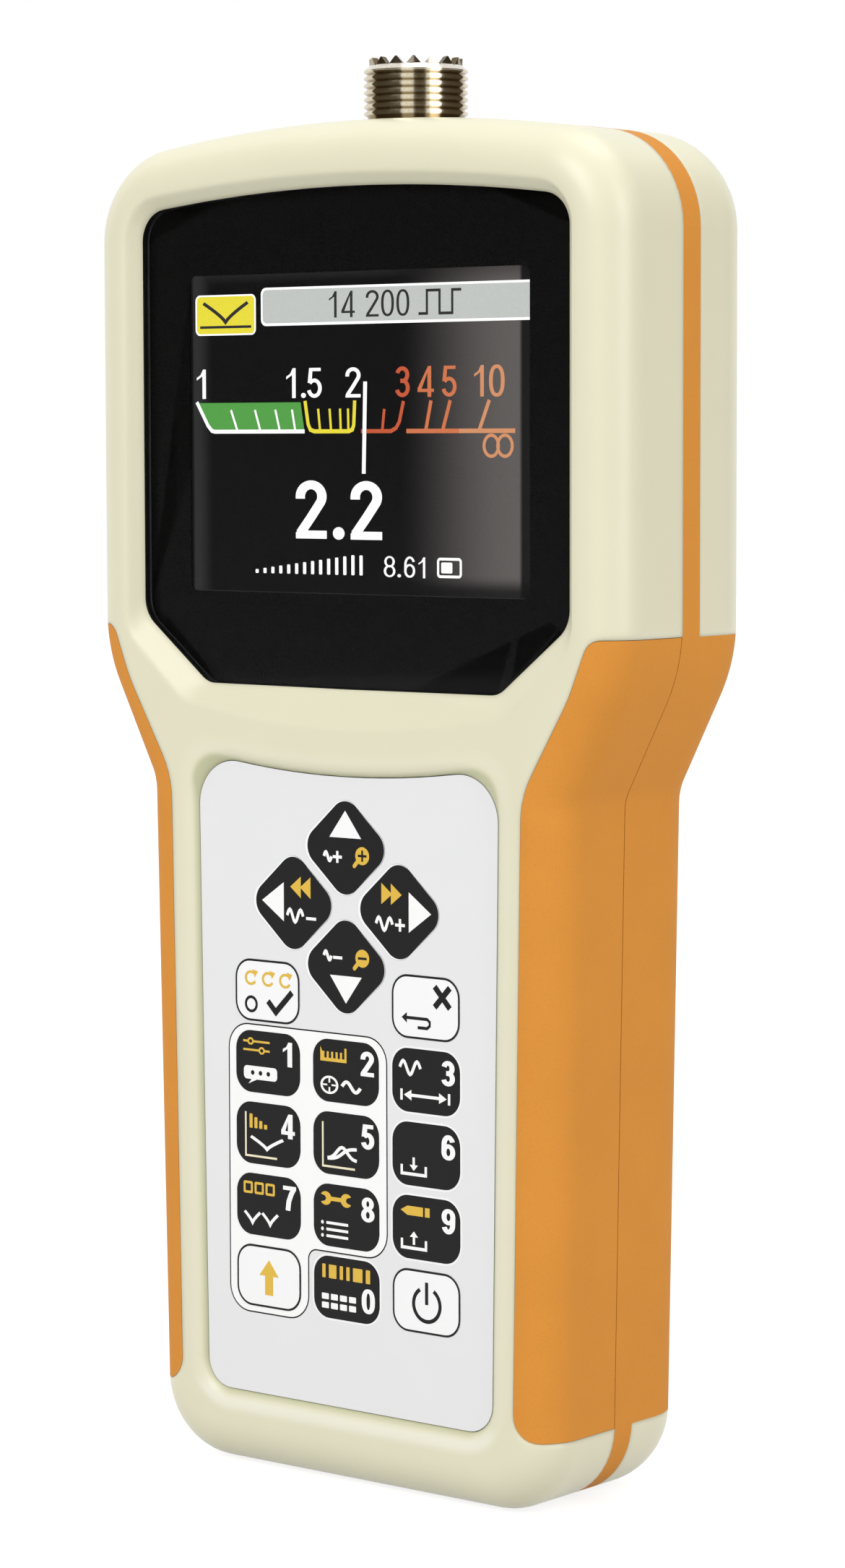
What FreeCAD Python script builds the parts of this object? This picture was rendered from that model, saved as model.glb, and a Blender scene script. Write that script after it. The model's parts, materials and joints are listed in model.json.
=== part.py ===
import FreeCAD, Part
import math
import os

# Hand-held antenna analyzer: two-part case with soft grips, colour display behind a
# window, membrane keypad, antenna socket on top, service socket underneath and three
# cells behind a cover in the back.
#
# Millimetres. +X is to the right seen from the front, the front faces -Y, +Z is up.
# The origin is the middle of the bottom end. Outlines are lists of corners
# (x, z, radius), counter-clockwise seen from the front.

V = FreeCAD.Vector

# ---------------------------------------------------------------- driving dimensions
WIDTH = 103.0              # across the head
DEPTH = 37.0
BASE_Z = -0.6              # the bottom end; the finished pieces are lifted to stand on Z = 0
CASE_TOP_Z = 206.3         # top of the head's arch
WALL = 2.3

FRONT_Y = -DEPTH / 2
REAR_Y = DEPTH / 2
FRONT_ROUND = 6.7          # edge rounding, front and back
REAR_ROUND = 10.4
SEAM_FRONT_Y = -2.15       # the coloured seal between the two shells
SEAM_REAR_Y = 2.12

HANDLE_HALF_BOTTOM = 39.15 # half width of the handle at its bottom end
HANDLE_HALF_TOP = 41.2     # and where the neck starts
NECK_BOTTOM_Z = 105.5
NECK_TOP_Z = 125.4
NECK_BOTTOM_R = 6.5
NECK_TOP_R = 25.0
BOTTOM_CORNER_R = 12.4
HEAD_CORNER_R = 14.6
HEAD_ARCH_R = 280.0
HEAD_ARCH_SLOPE = 7.9      # degrees, at the ends of the arch

WINDOW_HALF = 41.6         # front window
WINDOW_TOP_Z = 196.25
WINDOW_SHOULDER_Z = 131.6
WINDOW_BOTTOM_Z = 121.1
WINDOW_BOTTOM_HALF = 28.5
WINDOW_FRONT_Y = FRONT_Y + 2.25
WINDOW_THICK = 1.5
MASK_THICK = 0.1
TAPE_THICK = 0.1
SCREEN_HALF = 33.2         # what shows of the display through the window's mask
SCREEN_BOTTOM_Z = 135.3
SCREEN_TOP_Z = 183.7

OVERLAY_HALF_BOTTOM = 28.1  # printed keypad sheet
OVERLAY_HALF_TOP = 29.45
OVERLAY_BOTTOM_Z = 11.4
OVERLAY_TOP_Z = 107.9      # in the middle of its hollow top edge
OVERLAY_FRONT_Y = FRONT_Y + 1.05
OVERLAY_THICK = 0.55
SPACER_THICK = 0.5
CIRCUIT_THICK = 0.25

KEY_PITCH_X = 15.64
KEY_PITCH_Z = 11.11
KEY_TOP_ROW_Z = 63.1
KEY_CONFIRM_Z = 74.2       # the two keys beside the arrow group
KEY_WIDTH = 12.9
KEY_HEIGHT = 9.47
KEY_CORNER_R = 2.9
KEY_PROUD = 0.06
KEY_GAP = 0.07
ARROW_CENTRE_Z = 88.2
ARROW_OFFSET_X = 10.42
ARROW_OFFSET_Z = 9.03
ARROW_HALF_X = 9.36        # corner to centre before rounding
ARROW_HALF_Z = 8.12
ARROW_CORNER_R = 3.0
DOME_R = 4.0
DOME_THICK = 0.12

GRIP_THICK = 1.4
GRIP_GAP = 0.08
GRIP_BOTTOM_Z = 11.3
GRIP_TOP_Z = 129.75
GRIP_INNER_X = 32.85       # where a grip starts on the front, near the bottom

BOARD_FRONT_Y = -2.9
BOARD_REAR_Y = -1.3
BOARD_TOP_Z = 189.0

SOCKET_Y = 0.0             # antenna socket, 5/8 inch with 24 threads to the inch
SOCKET_TOP_Z = 216.0
THREAD_R = 7.94
THREAD_PITCH = 25.4 / 24
THREAD_DEPTH = 0.62
THREAD_START_Z = 207.63    # just above the case; the barrel is slimmer below
THREAD_ROUND = 0.11        # crests are rolled off over this depth and height
RIM_R = 7.1
RIM_NOTCH_DEPTH = 1.25
SOCKET_BORE_R = 6.05
SOCKET_BORE_DEPTH = 7.0
SOCKET_SEAT_R = 5.6        # of the insulator, below the bore
CONTACT_R = 2.6
CONTACT_BORE_R = 2.0
FLANGE_SIDE = 25.4
FLANGE_TOP_Z = 202.0       # clear of the case's rounded rear edge
FLANGE_THICK = 1.6
FLANGE_HOLE_PITCH = 18.2
RIM_TEETH = 16
RIM_TURN = 2.65            # degrees, from +X to the first notch's step

USB_HALF_X = 3.85          # service socket in the bottom end
USB_HEIGHT = 4.0
USB_DEPTH = 9.2

CELL_R = 7.15              # three round cells, 14.3 x 50.5
CELL_LENGTH = 50.5
CELL_PITCH = 15.0
CELL_Y = 8.9
BAY_HALF_X = 22.9
BAY_BOTTOM_Z = 26.0
BAY_TOP_Z = 84.4
BAY_FLOOR_Y = 1.0
BAY_WALL = 1.4
COVER_HALF_X = 27.0
COVER_BOTTOM_Z = 20.5
COVER_TOP_Z = 93.5
COVER_GAP = 0.15
COVER_THICK = 2.2

SCREW_AXES = [(36.0, 193.0), (39.2, 121.5), (31.0, 12.4)]   # right-hand side, mirrored
BOSS_R = 3.4
INSERT_R = 2.0
INSERT_LENGTH = 6.0
SCREW_R = 1.2
SCREW_HEAD_R = 2.4

KEY_PLACES = {"key_function": (-1, 3), "key_0": (0, 3), "key_power": (1, 3)}
for digit in range(1, 10):
    KEY_PLACES["key_%d" % digit] = ((digit - 1) % 3 - 1, (digit - 1) // 3)


# ---------------------------------------------------------------- geometry helpers
def crown(z, radius, slope_deg, up=True):
    """Corner on the centre line whose rounding is an arch that peaks at height z."""
    rise = radius * (1 / math.cos(math.radians(slope_deg)) - 1)
    return (0.0, z + rise if up else z - rise, radius)


def slope_z(corner, x, slope_deg):
    """Height at x of the straight line that leaves a centre-line corner at slope_deg."""
    return corner[1] + x * math.tan(math.radians(slope_deg))


def mirrored(right_side, bottom=None, top=None):
    """Closed outline from its right side, bottom to top, and optional centre corners."""
    left_side = [(-x, z, r) for x, z, r in reversed(right_side)]
    return ([bottom] if bottom else []) + right_side + ([top] if top else []) + left_side


def rectangle(x0, x1, z0, z1, radius=0.0):
    return [(x0, z0, radius), (x1, z0, radius), (x1, z1, radius), (x0, z1, radius)]


def shifted(corners, dx, dz):
    return [(x + dx, z + dz, r) for x, z, r in corners]


def inset(corners, distance):
    """The outline moved inwards by distance (outwards if negative), radii to match."""
    moved = []
    for i, (x, z, radius) in enumerate(corners):
        before = corners[i - 1]
        after = corners[(i + 1) % len(corners)]
        length_in = math.hypot(x - before[0], z - before[1])
        length_out = math.hypot(after[0] - x, after[1] - z)
        n_in = (-(z - before[1]) / length_in, (x - before[0]) / length_in)
        n_out = (-(after[1] - z) / length_out, (after[0] - x) / length_out)
        scale = distance / (1 + n_in[0] * n_out[0] + n_in[1] * n_out[1])
        convex = n_in[0] * n_out[1] - n_in[1] * n_out[0] > 0
        new_radius = max(radius + (-distance if convex else distance), 0.0)
        moved.append((x + scale * (n_in[0] + n_out[0]), z + scale * (n_in[1] + n_out[1]),
                      new_radius if radius else 0.0))
    return moved


def rounded_wire(corners, y):
    """Closed wire of lines and corner arcs in the plane Y = y."""
    points = [V(x, y, z) for x, z, _ in corners]
    arcs = []
    for i, (x, z, radius) in enumerate(corners):
        to_before = (points[i - 1] - points[i]).normalize()
        to_after = (points[(i + 1) % len(points)] - points[i]).normalize()
        half = to_before.getAngle(to_after) / 2
        reach = radius / math.tan(half)
        bisector = (to_before + to_after).normalize()
        middle = points[i] + bisector * (radius / math.sin(half) - radius)
        arcs.append((points[i] + to_before * reach, middle, points[i] + to_after * reach))
    edges = []
    for i, (start, middle, end) in enumerate(arcs):
        if (end - start).Length > 1e-6:
            edges.append(Part.Arc(start, middle, end).toShape())
        following = arcs[(i + 1) % len(arcs)][0]
        if (following - end).Length > 1e-6:
            edges.append(Part.makeLine(end, following))
    return Part.Wire(edges)


def prism(corners, y0, y1):
    return Part.Face(rounded_wire(corners, y0)).extrude(V(0, y1 - y0, 0))


def flare(inner, y_inner, outer, y_outer, power, steps=4):
    """Solid between two matching outlines whose sides curve out flatter towards the outer one.

    power 1 would be a straight slope; more than 1 bends it into the outer plane.
    """
    sections = []
    for step in range(steps + 1):
        t = step / steps
        between = [tuple(a + (b - a) * t for a, b in zip(c_in, c_out)) for c_in, c_out in zip(inner, outer)]
        sections.append(rounded_wire(between, y_outer + (y_inner - y_outer) * (1 - t) ** power))
    return Part.makeLoft(sections, True, True)


def block(x0, x1, y0, y1, z0, z1):
    return Part.makeBox(x1 - x0, y1 - y0, z1 - z0, V(x0, y0, z0))


def rod_y(x, z, radius, y0, y1):
    return Part.makeCylinder(radius, y1 - y0, V(x, y0, z), V(0, 1, 0))


def rod_z(x, y, radius, z0, z1):
    return Part.makeCylinder(radius, z1 - z0, V(x, y, z0), V(0, 0, 1))


def both_sides(shape):
    return [shape, shape.mirror(V(0, 0, 0), V(1, 0, 0))]


def edges_in_plane(shape, y):
    return [e for e in shape.Edges
            if abs(e.BoundBox.YMin - y) < 1e-4 and abs(e.BoundBox.YMax - y) < 1e-4]


def fused(shapes):
    result = shapes[0]
    for shape in shapes[1:]:
        result = result.fuse(shape)
    return result.removeSplitter()


def ribbon(path, thickness, half_width):
    """Flat strip of even thickness that follows (y, z) points and spans +-half_width in X."""
    left, right = [], []
    for i, (y, z) in enumerate(path):
        before = path[max(i - 1, 0)]
        after = path[min(i + 1, len(path) - 1)]
        d_in = V(0, y - before[0], z - before[1])
        d_out = V(0, after[0] - y, after[1] - z)
        d_in = d_in.normalize() if d_in.Length else V(0, after[0] - y, after[1] - z).normalize()
        d_out = d_out.normalize() if d_out.Length else V(d_in)
        n_in, n_out = V(0, -d_in.z, d_in.y), V(0, -d_out.z, d_out.y)
        offset = (n_in + n_out) * (thickness / 2 / (1 + n_in.dot(n_out)))
        left.append(V(-half_width, y, z) + offset)
        right.append(V(-half_width, y, z) - offset)
    loop = left + right[::-1]
    return Part.Face(Part.makePolygon(loop + loop[:1])).extrude(V(2 * half_width, 0, 0))


# ---------------------------------------------------------------- outlines
HEAD_TOP = crown(CASE_TOP_Z, HEAD_ARCH_R, HEAD_ARCH_SLOPE)
CASE_OUTLINE = mirrored([
    (HANDLE_HALF_BOTTOM, BASE_Z, BOTTOM_CORNER_R),
    (HANDLE_HALF_TOP, NECK_BOTTOM_Z, NECK_BOTTOM_R),
    (WIDTH / 2, NECK_TOP_Z, NECK_TOP_R),
    (WIDTH / 2, slope_z(HEAD_TOP, WIDTH / 2, -HEAD_ARCH_SLOPE), HEAD_CORNER_R),
], top=HEAD_TOP)

WINDOW_ARCH_SLOPE = 6.7
WINDOW_TOP = crown(WINDOW_TOP_Z, 308.0, WINDOW_ARCH_SLOPE)
WINDOW_SAG_SLOPE = 0.2
WINDOW_BASE = crown(WINDOW_BOTTOM_Z, 3000.0, WINDOW_SAG_SLOPE, up=False)
WINDOW_OUTLINE = mirrored([
    (WINDOW_BOTTOM_HALF, slope_z(WINDOW_BASE, WINDOW_BOTTOM_HALF, WINDOW_SAG_SLOPE), 4.0),
    (WINDOW_HALF, WINDOW_SHOULDER_Z, 5.0),
    (WINDOW_HALF, slope_z(WINDOW_TOP, WINDOW_HALF, -WINDOW_ARCH_SLOPE), 4.9),
], bottom=WINDOW_BASE, top=WINDOW_TOP)

# The sloping frame round the window: narrow at the sides, wide and curved below.
BEZEL_SIDE_X = WINDOW_HALF + 1.9
BEZEL_LIP_DEPTH = 0.22     # its crest is rolled off over this depth and width
BEZEL_LIP_WIDTH = 0.85
BEZEL_TOP = crown(WINDOW_TOP_Z + 1.9, 310.0, WINDOW_ARCH_SLOPE)
BEZEL_SAG_SLOPE = 11.5
BEZEL_BASE = crown(115.4, 150.0, BEZEL_SAG_SLOPE, up=False)
BEZEL_OUTLINE = mirrored([
    (31.9, slope_z(BEZEL_BASE, 31.9, BEZEL_SAG_SLOPE), 7.0),
    (BEZEL_SIDE_X, 129.0, 6.0),
    (BEZEL_SIDE_X, slope_z(BEZEL_TOP, BEZEL_SIDE_X, -WINDOW_ARCH_SLOPE), 6.9),
], bottom=BEZEL_BASE, top=BEZEL_TOP)

SCREEN_OUTLINE = rectangle(-SCREEN_HALF, SCREEN_HALF, SCREEN_BOTTOM_Z, SCREEN_TOP_Z, 1.2)
PANEL_OUTLINE = rectangle(-36.0, 36.0, 131.7, 187.3, 0.8)

OVERLAY_DIP_SLOPE = 7.6
OVERLAY_DIP = crown(OVERLAY_TOP_Z, 165.0, OVERLAY_DIP_SLOPE, up=False)
OVERLAY_OUTLINE = mirrored([
    (OVERLAY_HALF_BOTTOM, OVERLAY_BOTTOM_Z, 4.5),
    (OVERLAY_HALF_TOP, slope_z(OVERLAY_DIP, OVERLAY_HALF_TOP, OVERLAY_DIP_SLOPE), 7.0),
], top=OVERLAY_DIP)

KEYPAD_RIM = inset(OVERLAY_OUTLINE, -0.12)
KEYPAD_FLARE = inset(OVERLAY_OUTLINE, -2.3)

GRIP_OUTLINE = [
    (GRIP_INNER_X, GRIP_BOTTOM_Z, 4.0),
    (WIDTH, GRIP_BOTTOM_Z, 0.0),
    (WIDTH, GRIP_TOP_Z, 0.0),
    (46.5, GRIP_TOP_Z, 2.6),
    (43.1, 121.4, 25.0),
    (34.4, 106.6, 14.0),
]


# ---------------------------------------------------------------- case
def body(depth_in):
    """The case's rounded block, depth_in inside its outer surface."""
    front, rear = FRONT_Y + depth_in, REAR_Y - depth_in
    solid = prism(inset(CASE_OUTLINE, depth_in), front, rear)
    solid = solid.makeFillet(FRONT_ROUND - depth_in, edges_in_plane(solid, front))
    return solid.makeFillet(REAR_ROUND - depth_in, edges_in_plane(solid, rear))


OUTER = body(0.0)
UNDER_GRIP = body(GRIP_THICK)
WITHIN_WALL = body(1.0)
INNER = body(WALL)
HOLLOW = OUTER.cut(INNER)


def layer(y0, y1):
    """A slice across the whole case between two Y planes."""
    return block(-WIDTH, WIDTH, y0, y1, -10, CASE_TOP_Z + 20)


def grip_region(y0, y1, clearance=0.0):
    """Both grips' surface skin between two Y planes, right one first."""
    skin = OUTER.cut(UNDER_GRIP)
    return both_sides(skin.common(prism(inset(GRIP_OUTLINE, -clearance), y0, y1)))


def socket_hole():
    return rod_z(0, SOCKET_Y, THREAD_R + 0.25, CASE_TOP_Z - 12, CASE_TOP_Z + 5)


def usb_hole():
    centre_y = BOARD_REAR_Y + USB_HEIGHT / 2
    return block(-4.75, 4.75, centre_y - 2.8, centre_y + 2.8, -1, WALL + 0.1)


def screw_places():
    return [(side * x, z) for x, z in SCREW_AXES for side in (1, -1)]


def front_shell():
    solids = [HOLLOW.common(layer(FRONT_Y - 1, SEAM_FRONT_Y))]
    window_seat_y = WINDOW_FRONT_Y + WINDOW_THICK + MASK_THICK + TAPE_THICK
    tray = prism(inset(WINDOW_OUTLINE, -2.4), FRONT_Y, window_seat_y + 2.2)
    keypad_seat_y = OVERLAY_FRONT_Y + OVERLAY_THICK + SPACER_THICK + CIRCUIT_THICK
    keypad_back = prism(inset(OVERLAY_OUTLINE, -2.5), FRONT_Y, keypad_seat_y + WALL)
    solids += [tray.common(WITHIN_WALL), keypad_back.common(WITHIN_WALL)]
    for x, z in screw_places():
        boss = rod_y(x, z, BOSS_R, FRONT_Y + 1, BOARD_FRONT_Y - 0.05)
        solids.append(boss.common(WITHIN_WALL))
    shell = fused(solids)

    bezel_lip_y = FRONT_Y + BEZEL_LIP_DEPTH
    cuts = [flare(WINDOW_OUTLINE, WINDOW_FRONT_Y, BEZEL_OUTLINE, bezel_lip_y, 1.0, steps=1),
            flare(BEZEL_OUTLINE, bezel_lip_y, inset(BEZEL_OUTLINE, -BEZEL_LIP_WIDTH), FRONT_Y, 2.0),
            flare(KEYPAD_RIM, OVERLAY_FRONT_Y, KEYPAD_FLARE, FRONT_Y, 2.0),
            prism(inset(WINDOW_OUTLINE, -0.1), WINDOW_FRONT_Y - 0.02, window_seat_y)]
    cuts.append(prism(inset(PANEL_OUTLINE, -0.3), FRONT_Y, 0))
    cuts.append(prism(KEYPAD_RIM, OVERLAY_FRONT_Y - 0.02, keypad_seat_y))
    cuts.append(block(-7.0, 7.0, keypad_seat_y - 1, 0, 103.2, 105.0))
    for x, z in lcd_screw_places():
        cuts.append(rod_y(x, z, LCD_SCREW_R + 0.05, FRAME_FRONT_Y - 1.3, 0))
    for x, z in screw_places():
        cuts.append(rod_y(x, z, INSERT_R, BOARD_FRONT_Y - 0.05 - INSERT_LENGTH - 1.0, 0))
    cuts += grip_region(FRONT_Y - 1, 0, GRIP_GAP)
    cuts += [socket_hole(), usb_hole()]
    for tool in cuts:
        shell = shell.cut(tool)
    return shell


def rear_grip():
    """Right half of the soft seal between the shells, with the rear grip moulded onto it."""
    half_ring = HOLLOW.common(block(0, WIDTH, SEAM_FRONT_Y, SEAM_REAR_Y, -10, CASE_TOP_Z + 20))
    piece = fused([half_ring, grip_region(SEAM_REAR_Y, REAR_Y + 1)[0]])
    return piece.cut(socket_hole()).cut(usb_hole())


def battery_bay():
    """Box for the cells with a rim that carries the cover."""
    outer = block(-BAY_HALF_X - BAY_WALL, BAY_HALF_X + BAY_WALL, BAY_FLOOR_Y - BAY_WALL,
                  REAR_Y - WALL + 0.02, BAY_BOTTOM_Z - BAY_WALL, BAY_TOP_Z + BAY_WALL)
    rim_half = COVER_HALF_X + 3
    rim = block(-rim_half, rim_half, REAR_Y - WALL - 1.3, REAR_Y - WALL + 0.02,
                COVER_BOTTOM_Z - 1.2, COVER_TOP_Z + 3)
    inside = block(-BAY_HALF_X, BAY_HALF_X, BAY_FLOOR_Y, REAR_Y, BAY_BOTTOM_Z, BAY_TOP_Z)
    return fused([outer, rim]).cut(inside)


def cover_lug(x, clearance=0.0):
    """One of the two lugs that hold the cover's lower edge behind the back wall."""
    top_y = REAR_Y - WALL - 0.05
    return block(x - 4 - clearance, x + 4 + clearance, top_y - 1.05 - clearance, top_y,
                 COVER_BOTTOM_Z - 2.8 - clearance, COVER_BOTTOM_Z + 3)


def rear_shell():
    solids = [HOLLOW.common(layer(SEAM_REAR_Y, REAR_Y + 1)), battery_bay()]
    for x, z in screw_places():
        end = 1.0 if z > BOARD_TOP_Z else 0.0
        boss = rod_y(x, z, BOSS_R, BOARD_REAR_Y + 0.05 - end, REAR_Y - 1)
        solids.append(boss.common(WITHIN_WALL))
    shell = fused(solids)

    opening = rectangle(-COVER_HALF_X - COVER_GAP, COVER_HALF_X + COVER_GAP,
                        COVER_BOTTOM_Z - COVER_GAP, COVER_TOP_Z + COVER_GAP, 4.0)
    cuts = [prism(opening, REAR_Y - WALL, REAR_Y + 1)]
    for x in (-14, 14):
        # room for a lug as it swings about the cover's lower outer edge
        swing = Part.makeCylinder(4.75, 8.6, V(x - 4.3, REAR_Y, COVER_BOTTOM_Z), V(1, 0, 0))
        cuts.append(swing.common(layer(0, REAR_Y - WALL)))
    # finger notch above the cover
    cuts.append(Part.makeSphere(11.0, V(0, REAR_Y + 9.2, COVER_TOP_Z + 2.5)))
    for x, z in screw_places():
        cuts.append(rod_y(x, z, SCREW_R + 0.2, -10, REAR_Y + 1))
        cuts.append(rod_y(x, z, SCREW_HEAD_R + 0.35, REAR_Y - 5.5, REAR_Y + 1))
    cuts.append(prism(rectangle(-28, 28, 148, 178, 2.0), REAR_Y - 0.2, REAR_Y + 1))
    cuts += grip_region(0, REAR_Y + 1)
    cuts += [socket_hole(), usb_hole()]
    for tool in cuts:
        shell = shell.cut(tool)
    return shell


def rear_label():
    return prism(rectangle(-27.9, 27.9, 148.1, 177.9, 1.9), REAR_Y - 0.2, REAR_Y - 0.05)


def battery_cover():
    plate = prism(rectangle(-COVER_HALF_X, COVER_HALF_X, COVER_BOTTOM_Z, COVER_TOP_Z, 3.85),
                  REAR_Y - COVER_THICK, REAR_Y)
    pieces = [plate]
    for x in (-14, 14):
        riser = block(x - 4, x + 4, REAR_Y - WALL - 1.1, REAR_Y - 1, COVER_BOTTOM_Z + 0.1,
                      COVER_BOTTOM_Z + 3)
        pieces += [cover_lug(x), riser]
    cover = fused(pieces)
    # ribbed thumb area near the upper edge
    for i in range(7):
        z = COVER_TOP_Z - 6.0 - 1.8 * i
        half = 9.0 - 0.9 * i
        groove = Part.makeCylinder(0.45, 2 * half, V(-half, REAR_Y + 0.12, z), V(1, 0, 0))
        cover = cover.cut(groove)
    return cover


# ---------------------------------------------------------------- keypad
KEY_SHAPE = rectangle(-KEY_WIDTH / 2, KEY_WIDTH / 2, -KEY_HEIGHT / 2, KEY_HEIGHT / 2, KEY_CORNER_R)
ARROW_SHAPE = [(ARROW_HALF_X, 0, ARROW_CORNER_R), (0, ARROW_HALF_Z, ARROW_CORNER_R),
               (-ARROW_HALF_X, 0, ARROW_CORNER_R), (0, -ARROW_HALF_Z, ARROW_CORNER_R)]


def key_outlines():
    """Every key's name and outline, with its centre."""
    keys = {}
    for name, (column, row) in KEY_PLACES.items():
        keys[name] = (KEY_SHAPE, column * KEY_PITCH_X, KEY_TOP_ROW_Z - row * KEY_PITCH_Z)
    keys["key_ok"] = (KEY_SHAPE, -KEY_PITCH_X, KEY_CONFIRM_Z)
    keys["key_cancel"] = (KEY_SHAPE, KEY_PITCH_X, KEY_CONFIRM_Z)
    keys["key_up"] = (ARROW_SHAPE, 0, ARROW_CENTRE_Z + ARROW_OFFSET_Z)
    keys["key_down"] = (ARROW_SHAPE, 0, ARROW_CENTRE_Z - ARROW_OFFSET_Z)
    keys["key_left"] = (ARROW_SHAPE, -ARROW_OFFSET_X, ARROW_CENTRE_Z)
    keys["key_right"] = (ARROW_SHAPE, ARROW_OFFSET_X, ARROW_CENTRE_Z)
    return keys


KEYS = key_outlines()
OVERLAY_BACK_Y = OVERLAY_FRONT_Y + OVERLAY_THICK
CIRCUIT_FRONT_Y = OVERLAY_BACK_Y + SPACER_THICK


def key(name):
    shape, x, z = KEYS[name]
    return prism(shifted(shape, x, z), OVERLAY_FRONT_Y - KEY_PROUD, OVERLAY_BACK_Y - 0.02)


def keypad_sheet(corners, y0, y1, clearance):
    """A sheet with one opening for each key, clearance wider than the key all round."""
    sheet = prism(corners, y0, y1)
    for shape, x, z in KEYS.values():
        sheet = sheet.cut(prism(inset(shifted(shape, x, z), -clearance), y0 - 1, y1 + 1))
    return sheet


def snap_dome(x, z):
    """Thin metal dome that stands on the circuit sheet and nearly touches its key."""
    height = SPACER_THICK - 0.06
    radius = (DOME_R ** 2 + height ** 2) / (2 * height)
    centre = V(x, CIRCUIT_FRONT_Y - height + radius, z)
    cap = Part.makeSphere(radius, centre).cut(Part.makeSphere(radius - DOME_THICK, centre))
    return cap.common(rod_y(x, z, DOME_R + 1, CIRCUIT_FRONT_Y - 1, CIRCUIT_FRONT_Y))


def keypad_circuit():
    sheet = prism(inset(OVERLAY_OUTLINE, 0.3), CIRCUIT_FRONT_Y, CIRCUIT_FRONT_Y + CIRCUIT_THICK)
    tail = ribbon([(CIRCUIT_FRONT_Y + 0.1, 104.1), (-12.0, 104.1), (-6.5, 103.2),
                   (BOARD_FRONT_Y - SLOT_DEPTH_Y, 102.2), (BOARD_FRONT_Y - SLOT_DEPTH_Y, 98.3)], 0.15, 6.0)
    return fused([sheet, tail])


# ---------------------------------------------------------------- display
MASK_FRONT_Y = WINDOW_FRONT_Y + WINDOW_THICK
PANEL_FRONT_Y = MASK_FRONT_Y + MASK_THICK + 0.05
PANEL_BACK_Y = PANEL_FRONT_Y + 2.2
FRAME_FRONT_Y = MASK_FRONT_Y + MASK_THICK + TAPE_THICK + 2.2
LCD_SCREW_R = 1.0
SLOT_DEPTH_Y = 1.1         # from the board to the middle of a flat cable's slot


def display_window():
    return prism(WINDOW_OUTLINE, WINDOW_FRONT_Y, MASK_FRONT_Y)


def window_ring(y0, y1, opening):
    return prism(inset(WINDOW_OUTLINE, 0.02), y0, y1).cut(prism(opening, y0 - 1, y1 + 1))


def lcd_frame():
    """Steel plate behind the display with four ears and a notch for the flat cable."""
    plate = prism(rectangle(-38.4, 38.4, 129.6, 189.4, 1.5), FRAME_FRONT_Y, FRAME_FRONT_Y + 0.6)
    plate = plate.cut(block(-12, 12, -20, 0, 120, 134.5))
    for x, z in lcd_screw_places():
        plate = plate.cut(rod_y(x, z, 1.1, -20, 0))
    return plate


def lcd_screw_places():
    return [(side * 37.4, z) for side in (1, -1) for z in (140.0, 180.0)]


def lcd_screws():
    screws = []
    for x, z in lcd_screw_places():
        head = rod_y(x, z, 1.9, FRAME_FRONT_Y + 0.6, FRAME_FRONT_Y + 1.7)
        shank = rod_y(x, z, LCD_SCREW_R, FRAME_FRONT_Y - 1.2, FRAME_FRONT_Y + 0.6)
        screws.append(head.fuse(shank).removeSplitter())
    return screws


def lcd_flex_cable():
    return ribbon([(PANEL_BACK_Y + 0.2, 134.2), (PANEL_BACK_Y + 0.2, 131.0), (-8.5, 129.0),
                   (BOARD_FRONT_Y - SLOT_DEPTH_Y, 127.6), (BOARD_FRONT_Y - SLOT_DEPTH_Y, 123.6)], 0.15, 10.0)


# ---------------------------------------------------------------- electronics
def main_board():
    board = prism(inset(CASE_OUTLINE, WALL + 0.8), BOARD_FRONT_Y, BOARD_REAR_Y)
    board = board.cut(block(-WIDTH, WIDTH, -20, 20, BOARD_TOP_Z, CASE_TOP_Z))
    for x, z in screw_places():
        board = board.cut(rod_y(x, z, SCREW_R + 0.3, -20, 20))
    return board


def on_board_front(x, z, half_x, half_z, height):
    return block(x - half_x, x + half_x, BOARD_FRONT_Y - height, BOARD_FRONT_Y, z - half_z, z + half_z)


def on_board_rear(x, z, half_x, half_z, height):
    return block(x - half_x, x + half_x, BOARD_REAR_Y, BOARD_REAR_Y + height, z - half_z, z + half_z)


def board_chips():
    """Processor, generator, mixers and supply chips."""
    rear = [(-30, 160, 5, 5, 1.2), (-30, 140, 3.5, 3.5, 1.0),
            (31, 150, 4, 3, 1.4), (31, 170, 3, 2.5, 1.2)]
    front = [(0, 70, 7, 7, 1.3), (-22, 84, 4, 3, 1.2), (22, 84, 3, 3, 1.2), (20, 50, 4.5, 4.5, 2.6)]
    return ([on_board_rear(*place) for place in rear]
            + [on_board_front(*place) for place in front])


def flex_connector(z, half_x):
    body_block = on_board_front(0, z, half_x, 2.2, 2.0)
    slot_y = BOARD_FRONT_Y - SLOT_DEPTH_Y
    slot = block(-half_x + 1, half_x - 1, slot_y - 0.15, slot_y + 0.15, z - 1, z + 3)
    return body_block.cut(slot)


def rf_shield_can():
    outer = block(-22, 22, BOARD_REAR_Y, BOARD_REAR_Y + 6, 138, 180)
    can = outer.cut(block(-21.6, 21.6, BOARD_REAR_Y - 1, BOARD_REAR_Y + 5.6, 138.4, 179.6))
    for ix in range(-3, 4):
        for iz in range(-3, 4):
            can = can.cut(rod_y(ix * 5.0, 159 + iz * 5.0, 0.8, BOARD_REAR_Y + 5, BOARD_REAR_Y + 7))
    return can


def buzzer():
    case = rod_y(32, 106, 5.5, BOARD_REAR_Y, BOARD_REAR_Y + 5)
    return case.cut(rod_y(32, 106, 1.0, BOARD_REAR_Y + 3.5, BOARD_REAR_Y + 6))


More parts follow.
